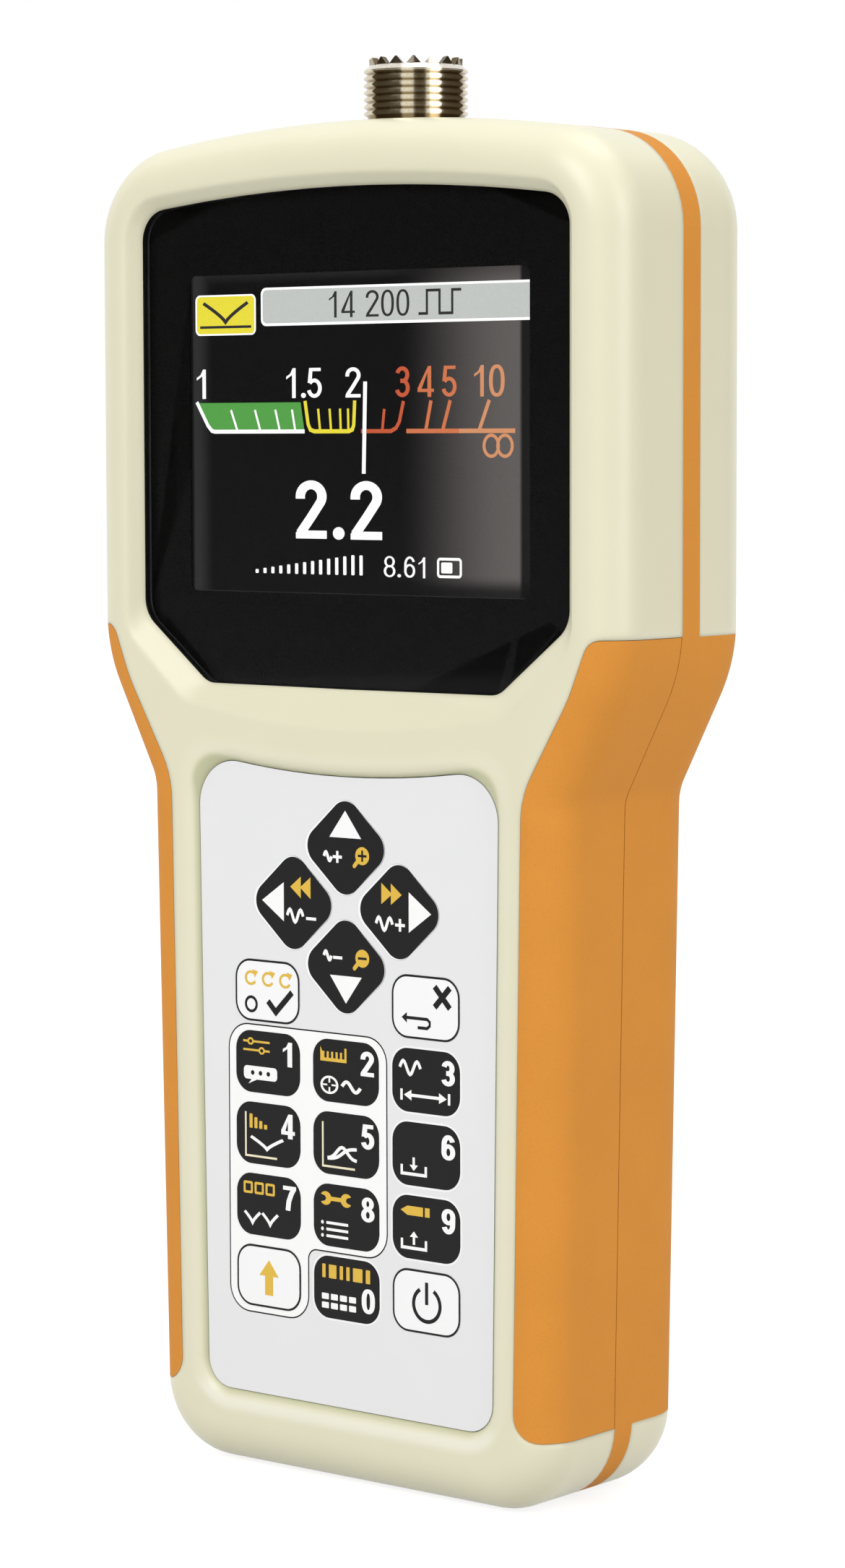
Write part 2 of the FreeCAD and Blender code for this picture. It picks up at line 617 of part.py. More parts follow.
def usb_socket_shell():
    z0 = BASE_Z + WALL + 0.15
    outer = block(-USB_HALF_X, USB_HALF_X, BOARD_REAR_Y, BOARD_REAR_Y + USB_HEIGHT, z0, z0 + USB_DEPTH)
    wall = 0.3
    inner = block(-USB_HALF_X + wall, USB_HALF_X - wall, BOARD_REAR_Y + wall,
                  BOARD_REAR_Y + USB_HEIGHT - wall, z0 - 1, z0 + USB_DEPTH - wall)
    return outer.cut(inner)


def usb_socket_insert():
    z0 = BASE_Z + WALL + 0.15
    middle_y = BOARD_REAR_Y + USB_HEIGHT / 2
    base = block(-USB_HALF_X + 0.3, USB_HALF_X - 0.3, BOARD_REAR_Y + 0.3,
                 BOARD_REAR_Y + USB_HEIGHT - 0.3, z0 + 6.0, z0 + USB_DEPTH - 0.3)
    tongue = block(-2.4, 2.4, middle_y - 0.1, middle_y + 0.7, z0 + 0.8, z0 + 6.5)
    return fused([base, tongue])


# ---------------------------------------------------------------- antenna socket
def antenna_socket_body():
    """Threaded barrel with a toothed rim on a square flange."""
    base_z = FLANGE_TOP_Z - FLANGE_THICK
    root_r = THREAD_R - THREAD_DEPTH
    profile = [(SOCKET_SEAT_R, base_z), (root_r, base_z), (root_r, THREAD_START_Z - 0.43)]
    z = THREAD_START_Z
    shoulder_z = SOCKET_TOP_Z - RIM_NOTCH_DEPTH - 0.1
    while z + THREAD_PITCH < shoulder_z:
        profile += [(THREAD_R - THREAD_ROUND, z - THREAD_ROUND), (THREAD_R, z), (THREAD_R, z + 0.14),
                    (THREAD_R - THREAD_ROUND, z + 0.14 + THREAD_ROUND), (root_r, z + 0.57), (root_r, z + 0.63)]
        z += THREAD_PITCH
    profile += [(THREAD_R - THREAD_ROUND, z - THREAD_ROUND), (THREAD_R, z), (THREAD_R, z + 0.14),
                (RIM_R, shoulder_z + 0.25), (RIM_R, SOCKET_TOP_Z),
                (SOCKET_BORE_R, SOCKET_TOP_Z), (SOCKET_BORE_R, SOCKET_TOP_Z - SOCKET_BORE_DEPTH),
                (SOCKET_SEAT_R, SOCKET_TOP_Z - SOCKET_BORE_DEPTH)]
    loop = [V(r, SOCKET_Y, height) for r, height in profile]
    barrel = Part.Face(Part.makePolygon(loop + loop[:1])).revolve(V(0, SOCKET_Y, 0), V(0, 0, 1), 360)
    half = FLANGE_SIDE / 2
    flange = block(-half, half, SOCKET_Y - half, SOCKET_Y + half, base_z, FLANGE_TOP_Z)
    flange = flange.cut(rod_z(0, SOCKET_Y, SOCKET_SEAT_R, 190, 210))
    for x, y in flange_screw_places():
        flange = flange.cut(rod_z(x, y, 1.6, 190, 210))
    solid = fused([barrel, flange])
    notch_top = SOCKET_TOP_Z + 0.15
    notch_base = SOCKET_TOP_Z - RIM_NOTCH_DEPTH
    for i in range(RIM_TEETH):
        # one V-shaped notch right across the rim at each step leaves a pointed tooth
        notch = Part.makePolygon([V(4, -1.38, notch_top), V(4, -0.15, notch_base), V(4, 0.15, notch_base),
                                  V(4, 1.38, notch_top), V(4, -1.38, notch_top)])
        tool = Part.Face(notch).extrude(V(6, 0, 0))
        tool.translate(V(0, SOCKET_Y, 0))
        tool.rotate(V(0, SOCKET_Y, 0), V(0, 0, 1), 360.0 / RIM_TEETH * i + RIM_TURN)
        solid = solid.cut(tool)
    return solid


def flange_screw_places():
    half = FLANGE_HOLE_PITCH / 2
    return [(sx * half, SOCKET_Y + sy * half) for sx in (1, -1) for sy in (1, -1)]


def antenna_socket_insulator():
    top = SOCKET_TOP_Z - SOCKET_BORE_DEPTH
    core = rod_z(0, SOCKET_Y, SOCKET_SEAT_R, FLANGE_TOP_Z - FLANGE_THICK, top)
    tail = rod_z(0, SOCKET_Y, 5.0, 197.0, FLANGE_TOP_Z - FLANGE_THICK)
    return fused([core, tail]).cut(rod_z(0, SOCKET_Y, CONTACT_R, 190, 220))


def antenna_socket_contact():
    """Split female contact, level with the insulator, with a solder pin that reaches the board."""
    tube = rod_z(0, SOCKET_Y, CONTACT_R, 194.0, SOCKET_TOP_Z - SOCKET_BORE_DEPTH)
    tube = tube.cut(rod_z(0, SOCKET_Y, CONTACT_BORE_R, 198.5, SOCKET_TOP_Z))
    for angle in (0, 90):
        slit = block(-3, 3, -0.2, 0.2, 203.0, SOCKET_TOP_Z)
        slit.rotate(V(0, 0, 0), V(0, 0, 1), angle)
        slit.translate(V(0, SOCKET_Y, 0))
        tube = tube.cut(slit)
    return fused([tube, rod_z(0, SOCKET_Y, 1.25, 184.0, 194.5)])


def socket_bracket():
    """Angle plate that ties the socket's flange to the board."""
    top = FLANGE_TOP_Z - FLANGE_THICK
    plate = block(-12.6, 12.6, -12.6, 12.6, top - 1.2, top)
    plate = plate.cut(rod_z(0, SOCKET_Y, 7.6, 190, 210))
    for x, y in flange_screw_places():
        plate = plate.cut(rod_z(x, y, 1.6, 190, 210))
    ear = block(-12.6, 12.6, 11.4, 12.6, 186.0, top)
    foot_left = block(-12.6, -9.0, BOARD_REAR_Y + 0.02, 12.6, 186.0, 187.2)
    return fused([plate, ear, foot_left, foot_left.mirror(V(0, 0, 0), V(1, 0, 0))])


def antenna_socket_screws():
    screws = []
    for x, y in flange_screw_places():
        shank = rod_z(x, y, 1.45, FLANGE_TOP_Z - FLANGE_THICK - 1.2, FLANGE_TOP_Z)
        head = rod_z(x, y, 2.15, FLANGE_TOP_Z - FLANGE_THICK - 3.0, FLANGE_TOP_Z - FLANGE_THICK - 1.2)
        screws.append(shank.fuse(head).removeSplitter())
    return screws


# ---------------------------------------------------------------- cells and contacts
SPRING_LENGTH = 5.6
CONTACT_THICK = 0.4
CELL_UP = {-1: True, 0: False, 1: True}     # which way each cell's positive end points


def cell_base_z(column):
    """Height of a cell's lower end: the spring is at its negative end."""
    if CELL_UP[column]:
        return BAY_BOTTOM_Z + CONTACT_THICK + SPRING_LENGTH
    return BAY_TOP_Z - CONTACT_THICK - SPRING_LENGTH - CELL_LENGTH


def battery_cells():
    cells = []
    for column, upright in CELL_UP.items():
        x, z0 = column * CELL_PITCH, cell_base_z(column)
        nub = 1.3
        can_z0 = z0 if upright else z0 + nub
        can = rod_z(x, CELL_Y, CELL_R, can_z0, can_z0 + CELL_LENGTH - nub)
        can = can.makeFillet(0.5, [e for e in can.Edges if e.Curve.TypeId == "Part::GeomCircle"])
        nub_z = z0 + CELL_LENGTH - nub - 0.5 if upright else z0
        cells.append(can.fuse(rod_z(x, CELL_Y, 2.6, nub_z, nub_z + nub + 0.5)).removeSplitter())
    return cells


def battery_springs():
    """Leaf springs, folded from strip, between the contact plates and the cells."""
    fold = [(-3.6, 0.2), (3.0, 0.2), (4.1, 0.9), (4.1, 1.6),
            (-3.4, 3.9), (-4.0, 4.5), (-3.4, 5.1), (3.6, 5.3)]
    springs = []
    for column, upright in CELL_UP.items():
        foot_z, way = (BAY_BOTTOM_Z + CONTACT_THICK, 1) if upright else (BAY_TOP_Z - CONTACT_THICK, -1)
        leaf = ribbon([(CELL_Y + y, foot_z + way * z) for y, z in fold], 0.35, 2.6)
        leaf.translate(V(column * CELL_PITCH, 0, 0))
        springs.append(leaf)
    return springs


def battery_contacts():
    """Plates at the two ends of the bay: one joins a pair of cells, one serves one cell."""
    plates = []
    for z0, single in ((BAY_BOTTOM_Z, 1), (BAY_TOP_Z - CONTACT_THICK, -1)):
        half = 6.0
        lone_x = single * CELL_PITCH
        for x0, x1 in ((lone_x, lone_x), sorted((-lone_x, 0))):
            plates.append(block(x0 - half, x1 + half, CELL_Y - half, CELL_Y + half,
                                z0, z0 + CONTACT_THICK))
    return plates


# ---------------------------------------------------------------- fasteners
def case_inserts():
    rings = []
    for x, z in screw_places():
        y1 = BOARD_FRONT_Y - 0.05
        rings.append(rod_y(x, z, INSERT_R, y1 - INSERT_LENGTH, y1).cut(rod_y(x, z, SCREW_R + 0.05, -20, 20)))
    return rings


def case_screws():
    screws = []
    for x, z in screw_places():
        seat_y = REAR_Y - 5.5
        head = rod_y(x, z, SCREW_HEAD_R, seat_y, seat_y + 2.0)
        socket = prism(shifted(cross_recess(), x, z), seat_y + 0.9, seat_y + 3)
        shank = rod_y(x, z, SCREW_R, BOARD_FRONT_Y - INSERT_LENGTH + 0.5, seat_y)
        screws.append(head.fuse(shank).removeSplitter().cut(socket))
    return screws


def cross_recess():
    arm, half = 1.5, 0.35
    return [(half, -arm, 0), (half, -half, 0), (arm, -half, 0), (arm, half, 0), (half, half, 0),
            (half, arm, 0), (-half, arm, 0), (-half, half, 0), (-arm, half, 0), (-arm, -half, 0),
            (-half, -half, 0), (-half, -arm, 0)]


# ---------------------------------------------------------------- assembly
def pieces():
    front_grips = grip_region(FRONT_Y - 1, SEAM_FRONT_Y - 0.15)
    rear_grips = both_sides(rear_grip())
    nodes = {
        "front_shell": front_shell(),
        "rear_shell": rear_shell(),
        "front_grip_right": front_grips[0],
        "front_grip_left": front_grips[1],
        "rear_grip_right": rear_grips[0],
        "rear_grip_left": rear_grips[1],
        "rear_label": rear_label(),
        "battery_cover": battery_cover(),
        "display_window": display_window(),
        "window_mask": window_ring(MASK_FRONT_Y, MASK_FRONT_Y + MASK_THICK, SCREEN_OUTLINE),
        "window_tape": window_ring(MASK_FRONT_Y + MASK_THICK, MASK_FRONT_Y + MASK_THICK + TAPE_THICK,
                                   inset(PANEL_OUTLINE, -0.4)),
        "lcd_panel": prism(PANEL_OUTLINE, PANEL_FRONT_Y, PANEL_BACK_Y),
        "lcd_frame": lcd_frame(),
        "lcd_screws": Part.makeCompound(lcd_screws()),
        "lcd_flex_cable": lcd_flex_cable(),
        "keypad_overlay": keypad_sheet(OVERLAY_OUTLINE, OVERLAY_FRONT_Y, OVERLAY_BACK_Y, KEY_GAP),
        "keypad_spacer": keypad_sheet(inset(OVERLAY_OUTLINE, 0.1), OVERLAY_BACK_Y, CIRCUIT_FRONT_Y, 0.25),
        "keypad_circuit": keypad_circuit(),
        "snap_domes": Part.makeCompound([snap_dome(x, z) for _, x, z in KEYS.values()]),
        "main_board": main_board(),
        "board_chips": Part.makeCompound(board_chips()),
        "rf_shield_can": rf_shield_can(),
        "display_connector": flex_connector(124.0, 12.5),
        "keypad_connector": flex_connector(98.7, 8.0),
        "buzzer": buzzer(),
        "usb_socket_shell": usb_socket_shell(),
        "usb_socket_insert": usb_socket_insert(),
        "antenna_socket_body": antenna_socket_body(),
        "antenna_socket_insulator": antenna_socket_insulator(),
        "antenna_socket_contact": antenna_socket_contact(),
        "antenna_socket_screws": Part.makeCompound(antenna_socket_screws()),
        "socket_bracket": socket_bracket(),
        "battery_cells": Part.makeCompound(battery_cells()),
        "battery_springs": Part.makeCompound(battery_springs()),
        "battery_contacts": Part.makeCompound(battery_contacts()),
        "case_inserts": Part.makeCompound(case_inserts()),
        "case_screws": Part.makeCompound(case_screws()),
    }
    for name in KEYS:
        nodes[name] = key(name)
    return nodes


os.makedirs("parts", exist_ok=True)
for node_name, node_shape in pieces().items():
    node_shape.translate(V(0, 0, -BASE_Z))
    print(node_name, len(node_shape.Solids), round(node_shape.Volume, 2), node_shape.isValid())
    node_shape.exportStep("parts/%s.step" % node_name)
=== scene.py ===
import json
import math

import bmesh
import bpy
from mathutils import Matrix, Vector
from mathutils.geometry import delaunay_2d_cdt


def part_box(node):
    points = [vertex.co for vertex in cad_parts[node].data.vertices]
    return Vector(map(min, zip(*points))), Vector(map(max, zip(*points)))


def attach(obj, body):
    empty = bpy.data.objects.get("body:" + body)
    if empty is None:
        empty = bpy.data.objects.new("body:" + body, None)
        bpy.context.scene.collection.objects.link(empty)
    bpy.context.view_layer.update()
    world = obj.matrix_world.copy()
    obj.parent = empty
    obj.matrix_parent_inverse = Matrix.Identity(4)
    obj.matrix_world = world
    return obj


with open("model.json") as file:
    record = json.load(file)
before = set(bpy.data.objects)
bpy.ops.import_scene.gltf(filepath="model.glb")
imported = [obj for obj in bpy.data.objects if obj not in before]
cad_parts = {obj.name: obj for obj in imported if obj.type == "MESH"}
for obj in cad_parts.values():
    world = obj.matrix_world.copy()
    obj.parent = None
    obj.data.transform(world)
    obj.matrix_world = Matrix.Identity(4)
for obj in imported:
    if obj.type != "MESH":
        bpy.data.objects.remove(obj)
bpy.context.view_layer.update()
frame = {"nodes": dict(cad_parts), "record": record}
nodes = frame["nodes"]
MM = 0.001

# ---------------------------------------------------------------- camera
AZIMUTH, PITCH, ROLL, HEADING = (math.radians(a) for a in (39.22, 4.664, -0.152, -0.062))
CAMERA_DISTANCE = 0.655427
CAMERA_HEIGHT = 0.159820
LENS_MM = 98.24            # for 36 mm along the picture's long side


def make_camera():
    data = bpy.data.cameras.new("camera")
    data.sensor_fit = "VERTICAL"
    data.sensor_height = 36.0
    data.lens = LENS_MM
    data.clip_start = 0.01
    turn = AZIMUTH + HEADING
    forward = Vector((-math.sin(turn) * math.cos(PITCH), math.cos(turn) * math.cos(PITCH), -math.sin(PITCH)))
    right = forward.cross(Vector((0, 0, 1))).normalized()
    up = right.cross(forward)
    right, up = (right * math.cos(ROLL) + up * math.sin(ROLL), up * math.cos(ROLL) - right * math.sin(ROLL))
    camera = bpy.data.objects.new("camera", data)
    camera.matrix_world = Matrix(((right.x, up.x, -forward.x, CAMERA_DISTANCE * math.sin(AZIMUTH)),
                                  (right.y, up.y, -forward.y, -CAMERA_DISTANCE * math.cos(AZIMUTH)),
                                  (right.z, up.z, -forward.z, CAMERA_HEIGHT),
                                  (0, 0, 0, 1)))
    bpy.context.scene.collection.objects.link(camera)
    bpy.context.scene.camera = camera


make_camera()
bpy.context.scene.view_settings.view_transform = "Standard"


# ---------------------------------------------------------------- node helpers
WHITE = (1.0, 1.0, 1.0, 1.0)


def srgb(*levels):
    """Linear colour of an 8-bit sRGB one."""
    shares = [level / 255 for level in levels]
    return tuple(((v + 0.055) / 1.055) ** 2.4 if v > 0.04 else v / 12.92 for v in shares) + (1.0,)


def shade(colour, factor):
    return tuple(c * factor for c in colour[:3]) + (1.0,)


def feed(tree, node, inputs):
    """Links each input that is given as a socket, and sets any other one."""
    for key, value in inputs.items():
        if isinstance(value, bpy.types.NodeSocket):
            tree.links.new(value, node.inputs[key])
        else:
            node.inputs[key].default_value = value


def add(tree, kind, inputs=None, **settings):
    """A new node with its settings and inputs."""
    node = tree.nodes.new(kind)
    for key, value in settings.items():
        setattr(node, key, value)
    feed(tree, node, inputs or {})
    return node


def new_material(name):
    mat = bpy.data.materials.new(name)
    mat.use_nodes = True
    return mat, mat.node_tree, mat.node_tree.nodes["Principled BSDF"]


def emptied(owner):
    """Node tree of a new material or world, without its first nodes."""
    owner.use_nodes = True
    owner.node_tree.nodes.clear()
    return owner.node_tree


def calc(tree, operation, first, second=0.0):
    return add(tree, "ShaderNodeMath", {0: first, 1: second}, operation=operation).outputs[0]


def times(tree, first, *others):
    for other in others:
        first = calc(tree, "MULTIPLY", first, other)
    return first


def vector_calc(tree, operation, first, second=(0, 0, 0), output="Vector"):
    return add(tree, "ShaderNodeVectorMath", {0: first, 1: second}, operation=operation).outputs[output]


def spread(tree, value, low, high, from_low=0.3, from_high=0.7):
    """The value, with its range from from_low to from_high drawn out to low to high."""
    return add(tree, "ShaderNodeMapRange", {"Value": value, "From Min": from_low, "From Max": from_high,
                                            "To Min": low, "To Max": high}).outputs["Result"]


def ramp(tree, value, start_mm, end_mm, low=0.0, high=1.0):
    """Smooth step of a length between two places."""
    inputs = {"Value": value, "From Min": start_mm * MM, "From Max": end_mm * MM,
              "To Min": low, "To Max": high}
    return add(tree, "ShaderNodeMapRange", inputs, interpolation_type="SMOOTHSTEP").outputs["Result"]


def blend_colours(tree, factor, first, second):
    return add(tree, "ShaderNodeMix", {0: factor, 6: first, 7: second}, data_type="RGBA").outputs[2]


def place(tree):
    """Place on the object, in metres."""
    return add(tree, "ShaderNodeTexCoord").outputs["Object"]


def place_axes(tree):
    axes = add(tree, "ShaderNodeSeparateXYZ", {"Vector": place(tree)})
    return axes.outputs["X"], axes.outputs["Y"], axes.outputs["Z"]


def noise(tree, size_mm, detail=2.0, roughness=0.5, stretch=(1, 1, 1)):
    """Noise of about that grain size, between 0 and 1."""
    where = add(tree, "ShaderNodeMapping", {"Vector": place(tree), "Scale": stretch}).outputs["Vector"]
    inputs = {"Vector": where, "Scale": 1 / (size_mm * MM), "Detail": detail, "Roughness": roughness}
    return add(tree, "ShaderNodeTexNoise", inputs).outputs["Fac"]


def bump(tree, height, distance_mm, under=None):
    inputs = {"Height": height, "Distance": distance_mm * MM, "Strength": 1.0}
    if under:
        inputs["Normal"] = under
    return add(tree, "ShaderNodeBump", inputs).outputs["Normal"]


def surface(name, colour, rough=(0.4, 0.5), grain_mm=0.3, relief_mm=0.004, mottle=0.03, mottle_mm=9.0,
            metallic=0.0, stretch=(1, 1, 1), edge_mm=0.0, **sockets):
    """Coloured surface with a fine grain, a faint large mottle and uneven gloss. With edge_mm its edges look
    rounded by that much, and the grain has no relief."""
    mat, tree, shader = new_material(name)
    cloud = spread(tree, noise(tree, mottle_mm, detail=4.0), 0, 1)
    grain = noise(tree, grain_mm, stretch=stretch)
    base = blend_colours(tree, cloud, shade(colour, 1 - mottle), shade(colour, 1 + mottle * 0.5))
    feed(tree, shader, {"Base Color": base, "Roughness": spread(tree, grain, *rough), "Metallic": metallic})
    if edge_mm:
        soft_edge = add(tree, "ShaderNodeBevel", {"Radius": edge_mm * MM}, samples=8)
        feed(tree, shader, {"Normal": soft_edge.outputs[0]})
    else:
        feed(tree, shader, {"Normal": bump(tree, grain, relief_mm)})
    for key, value in sockets.items():
        shader.inputs[key.replace("_", " ")].default_value = value
    return mat


# ---------------------------------------------------------------- materials
CREAM = srgb(225, 221, 193)
ORANGE = srgb(218, 144, 55)
BLACK_PRINT = srgb(24, 22, 23)
SHEET_HALF_BOTTOM = 27.95  # half the keypad sheet's width, carried down to z = 0
SHEET_LEAN = 0.0139        # its sides lean outwards by that much
SHEET_CORNER_R = 5.0
SHEET_TOP_Z = 108.5        # the sheet's hollow top edge, in its middle, and its radius
SHEET_TOP_R = 165.0
PAINTED_SHADE_WIDTH = 1.2         # width of the painted shade in the hollow round the sheet
HIGHLIGHT_START, HIGHLIGHT_FULL, HIGHLIGHT_FADE, HIGHLIGHT_END = 0.7, 1.8, 2.2, 4.0   # the painted highlight on the ridge outside it
SEAT_GAP = 0.4             # how far the wall round the window may stand from it
SEAT_BACK_Y = -11.0        # and how far back it is coloured


def soft_grip():
    """Matte soft moulding with a dense fine grain and slightly darker hollows."""
    mat, tree, shader = new_material("grip_orange")
    fine = noise(tree, 0.32, detail=3.0, roughness=0.6)
    cloud = spread(tree, noise(tree, 14.0, detail=3.0), 0, 1)
    base = blend_colours(tree, cloud, shade(ORANGE, 0.97), shade(ORANGE, 1.03))
    base = blend_colours(tree, spread(tree, fine, 0.35, 0, 0.3, 0.5), base, shade(ORANGE, 0.8))
    feed(tree, shader, {"Base Color": base, "Roughness": spread(tree, fine, 0.62, 0.8),
                        "Normal": bump(tree, fine, 0.02), "Specular IOR Level": 0.25})
    return mat


def window_pane():
    """Clear pane: see-through, with a faint reflection that grows towards grazing views."""
    mat = bpy.data.materials.new("window_clear")
    tree = emptied(mat)
    clear = add(tree, "ShaderNodeBsdfTransparent", {"Color": (0.97, 0.97, 0.97, 1)})
    gloss = add(tree, "ShaderNodeBsdfGlossy", {"Color": WHITE, "Roughness": 0.03})
    facing = add(tree, "ShaderNodeLayerWeight", {"Blend": 0.5}).outputs["Facing"]
    share = spread(tree, calc(tree, "POWER", facing, 5.0), 0.006, 0.6, 0.0, 1.0)
    mix = add(tree, "ShaderNodeMixShader", {0: share, 1: clear.outputs[0], 2: gloss.outputs[0]})
    add(tree, "ShaderNodeOutputMaterial", {"Surface": mix.outputs[0]})
    return mat


def display_glass():
    """Unlit part of the display: near black, with a painted reflection, pale at its right and faint left and
    above.
    """
    mat, tree, shader = new_material("screen")
    x, _, z = place_axes(tree)
    # painted reflection: a pale glare across the right of the glass, given as emission
    painted_glare = times(tree, ramp(tree, x, 8.0, 31.0), ramp(tree, x, 31.0, 31.8, 1.0, 0.06),
                 ramp(tree, z, 136.6, 139.4, 0.1, 1.0), ramp(tree, z, 181.5, 184.5, 1.0, 0.55),
                 spread(tree, noise(tree, 0.12, detail=1.0), 0.9, 1.05))
    # painted reflection: a faint glare along the left and top edges of the glass
    left = times(tree, ramp(tree, x, -28.5, -32.0), ramp(tree, x, -32.9, -32.5))
    top = times(tree, ramp(tree, z, 182.6, 185.0), ramp(tree, z, 186.0, 185.4), 0.7)
    rim = times(tree, calc(tree, "MAXIMUM", left, top), ramp(tree, x, 16.0, 4.0))
    painted_reflection = blend_colours(tree, painted_glare, srgb(3, 3, 3), srgb(100, 96, 94))
    painted_reflection = blend_colours(tree, rim, painted_reflection, srgb(44, 44, 45))
    feed(tree, shader, {"Base Color": (0.006, 0.006, 0.007, 1), "Roughness": 0.25, "Specular IOR Level": 0.1,
                        "Emission Color": painted_reflection, "Emission Strength": 1.0})
    return mat


def lit(name, colour, strength):
    """A lit shape on the display, with a faint pixel grain."""
    mat, tree, shader = new_material(name)
    speck = spread(tree, noise(tree, 0.15, detail=1.0), 0, 1)
    glow = blend_colours(tree, speck, shade(colour, 0.93), shade(colour, 1.02))
    feed(tree, shader, {"Base Color": (0.01, 0.01, 0.01, 1), "Roughness": 0.5, "Specular IOR Level": 0.1,
                        "Emission Color": glow, "Emission Strength": strength})
    return mat


def beyond_sheet(tree, x, z):
    """Distance from a line that runs SHEET_CORNER_R inside the keypad sheet's outline."""
    side = calc(tree, "SUBTRACT", calc(tree, "ABSOLUTE", x), times(tree, z, SHEET_LEAN))
    bow = times(tree, calc(tree, "POWER", x, 2.0), 1 / (2 * SHEET_TOP_R * MM))
    above = calc(tree, "SUBTRACT", calc(tree, "SUBTRACT", z, bow), SHEET_TOP_Z * MM)
    below = calc(tree, "SUBTRACT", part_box("keypad_overlay")[0].z, z)
    beyond = calc(tree, "MAXIMUM", above, below)
    outwards = add(tree, "ShaderNodeCombineXYZ", {"X": side, "Y": beyond}).outputs["Vector"]
    corner = (SHEET_HALF_BOTTOM - SHEET_CORNER_R) * MM, -SHEET_CORNER_R * MM, 0.0
    outwards = vector_calc(tree, "MAXIMUM", vector_calc(tree, "SUBTRACT", outwards, corner))
    return vector_calc(tree, "LENGTH", outwards, output="Value")


def window_seat(tree, x, y, z):
    """1 on the wall that stands round the display window, else 0."""
    low, high = (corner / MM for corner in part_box("display_window"))
    return times(tree, ramp(tree, calc(tree, "ABSOLUTE", x), high.x + SEAT_GAP, high.x + SEAT_GAP - 0.1),
                 ramp(tree, y, low.y - 0.04, low.y + 0.04),
                 ramp(tree, z, low.z - SEAT_GAP - 0.2, low.z - SEAT_GAP),
                 ramp(tree, z, high.z + SEAT_GAP + 0.2, high.z + SEAT_GAP),
                 ramp(tree, y, SEAT_BACK_Y, SEAT_BACK_Y - 1.0))


def case_plastic():
    """Satin cream plastic with soft edges. Round the keypad it has painted shade in its hollow rim
    and a painted highlight outside it, and the wall of the window's seat is black."""
    mat = surface("case_cream", CREAM, rough=(0.32, 0.36), grain_mm=0.35, mottle=0.012, edge_mm=1.5)
    tree = mat.node_tree
    colour_input = tree.nodes["Principled BSDF"].inputs["Base Color"]
    x, y, z = place_axes(tree)
    reach = beyond_sheet(tree, x, z)
    on_front = times(tree, ramp(tree, y, -13.0, -15.0), ramp(tree, z, 121.0, 118.0))
    # painted shade in the hollow next to the keypad sheet, and a painted highlight on the ridge outside it
    painted_shade = ramp(tree, reach, SHEET_CORNER_R + PAINTED_SHADE_WIDTH, SHEET_CORNER_R, 0.0, 0.75)
    painted_highlight = times(tree, ramp(tree, reach, SHEET_CORNER_R + HIGHLIGHT_START, SHEET_CORNER_R + HIGHLIGHT_FULL),
                  ramp(tree, reach, SHEET_CORNER_R + HIGHLIGHT_FADE, SHEET_CORNER_R + HIGHLIGHT_END, 0.7, 0.0),
                  ramp(tree, z, 14.0, 11.0, 0.2, 1.0))
    base = colour_input.links[0].from_socket
    # greenish grey painted shade, near-white painted highlight, then the black seat wall
    for share, colour in ((times(tree, on_front, painted_shade), srgb(180, 182, 140)),
                          (times(tree, on_front, painted_highlight), srgb(242, 239, 224)),
                          (window_seat(tree, x, y, z), srgb(14, 14, 15))):
        base = blend_colours(tree, share, base, colour)
    tree.links.new(base, colour_input)
    return mat


def plated_thread():
    """Nickel plate, bright on the crests, with darker hollows in the thread and between the rim's teeth."""
    mat, tree, shader = new_material("nickel")
    low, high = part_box("antenna_socket_body")
    top = high.z / MM
    where = place(tree)
    height = add(tree, "ShaderNodeSeparateXYZ", {"Vector": where}).outputs["Z"]
    off_axis = vector_calc(tree, "SUBTRACT", where, (0.0, (low.y + high.y) / 2, 0.0))
    flat = vector_calc(tree, "MULTIPLY", off_axis, (1.0, 1.0, 0.0))
    radius = vector_calc(tree, "LENGTH", flat, output="Value")
    grit = noise(tree, 0.22, detail=3.0, roughness=0.7)
    base = blend_colours(tree, ramp(tree, radius, 7.35, 7.85), srgb(140, 120, 84), srgb(226, 216, 190))
    rim = blend_colours(tree, ramp(tree, radius, 7.02, 7.2), srgb(104, 88, 62), srgb(232, 226, 214))
    base = blend_colours(tree, ramp(tree, height, top - 1.95, top - 1.75), base, rim)
    base = blend_colours(tree, spread(tree, grit, 0.35, 0.0, 0.35, 0.55), base, srgb(130, 116, 92))
    outward = vector_calc(tree, "NORMALIZE", flat)
    true_normal = add(tree, "ShaderNodeNewGeometry").outputs["Normal"]
    on_thread = times(tree, ramp(tree, radius, 6.9, 7.2), ramp(tree, height, top - 1.9, top - 2.1), 0.95)
    worn = add(tree, "ShaderNodeMix", {0: on_thread, 4: true_normal, 5: outward}, data_type="VECTOR")
    worn = vector_calc(tree, "NORMALIZE", worn.outputs[1])
    feed(tree, shader, {"Base Color": base, "Roughness": spread(tree, grit, 0.2, 0.1),
                        "Normal": bump(tree, grit, 0.002, under=worn), "Metallic": 1.0})
    return mat


def printed(name, colour, mottle, relief_mm=0.002, rough=(0.4, 0.52), **sockets):
    """Polyester film, plain or printed."""
    return surface(name, colour, rough=rough, grain_mm=0.18, relief_mm=relief_mm, mottle=mottle, **sockets)


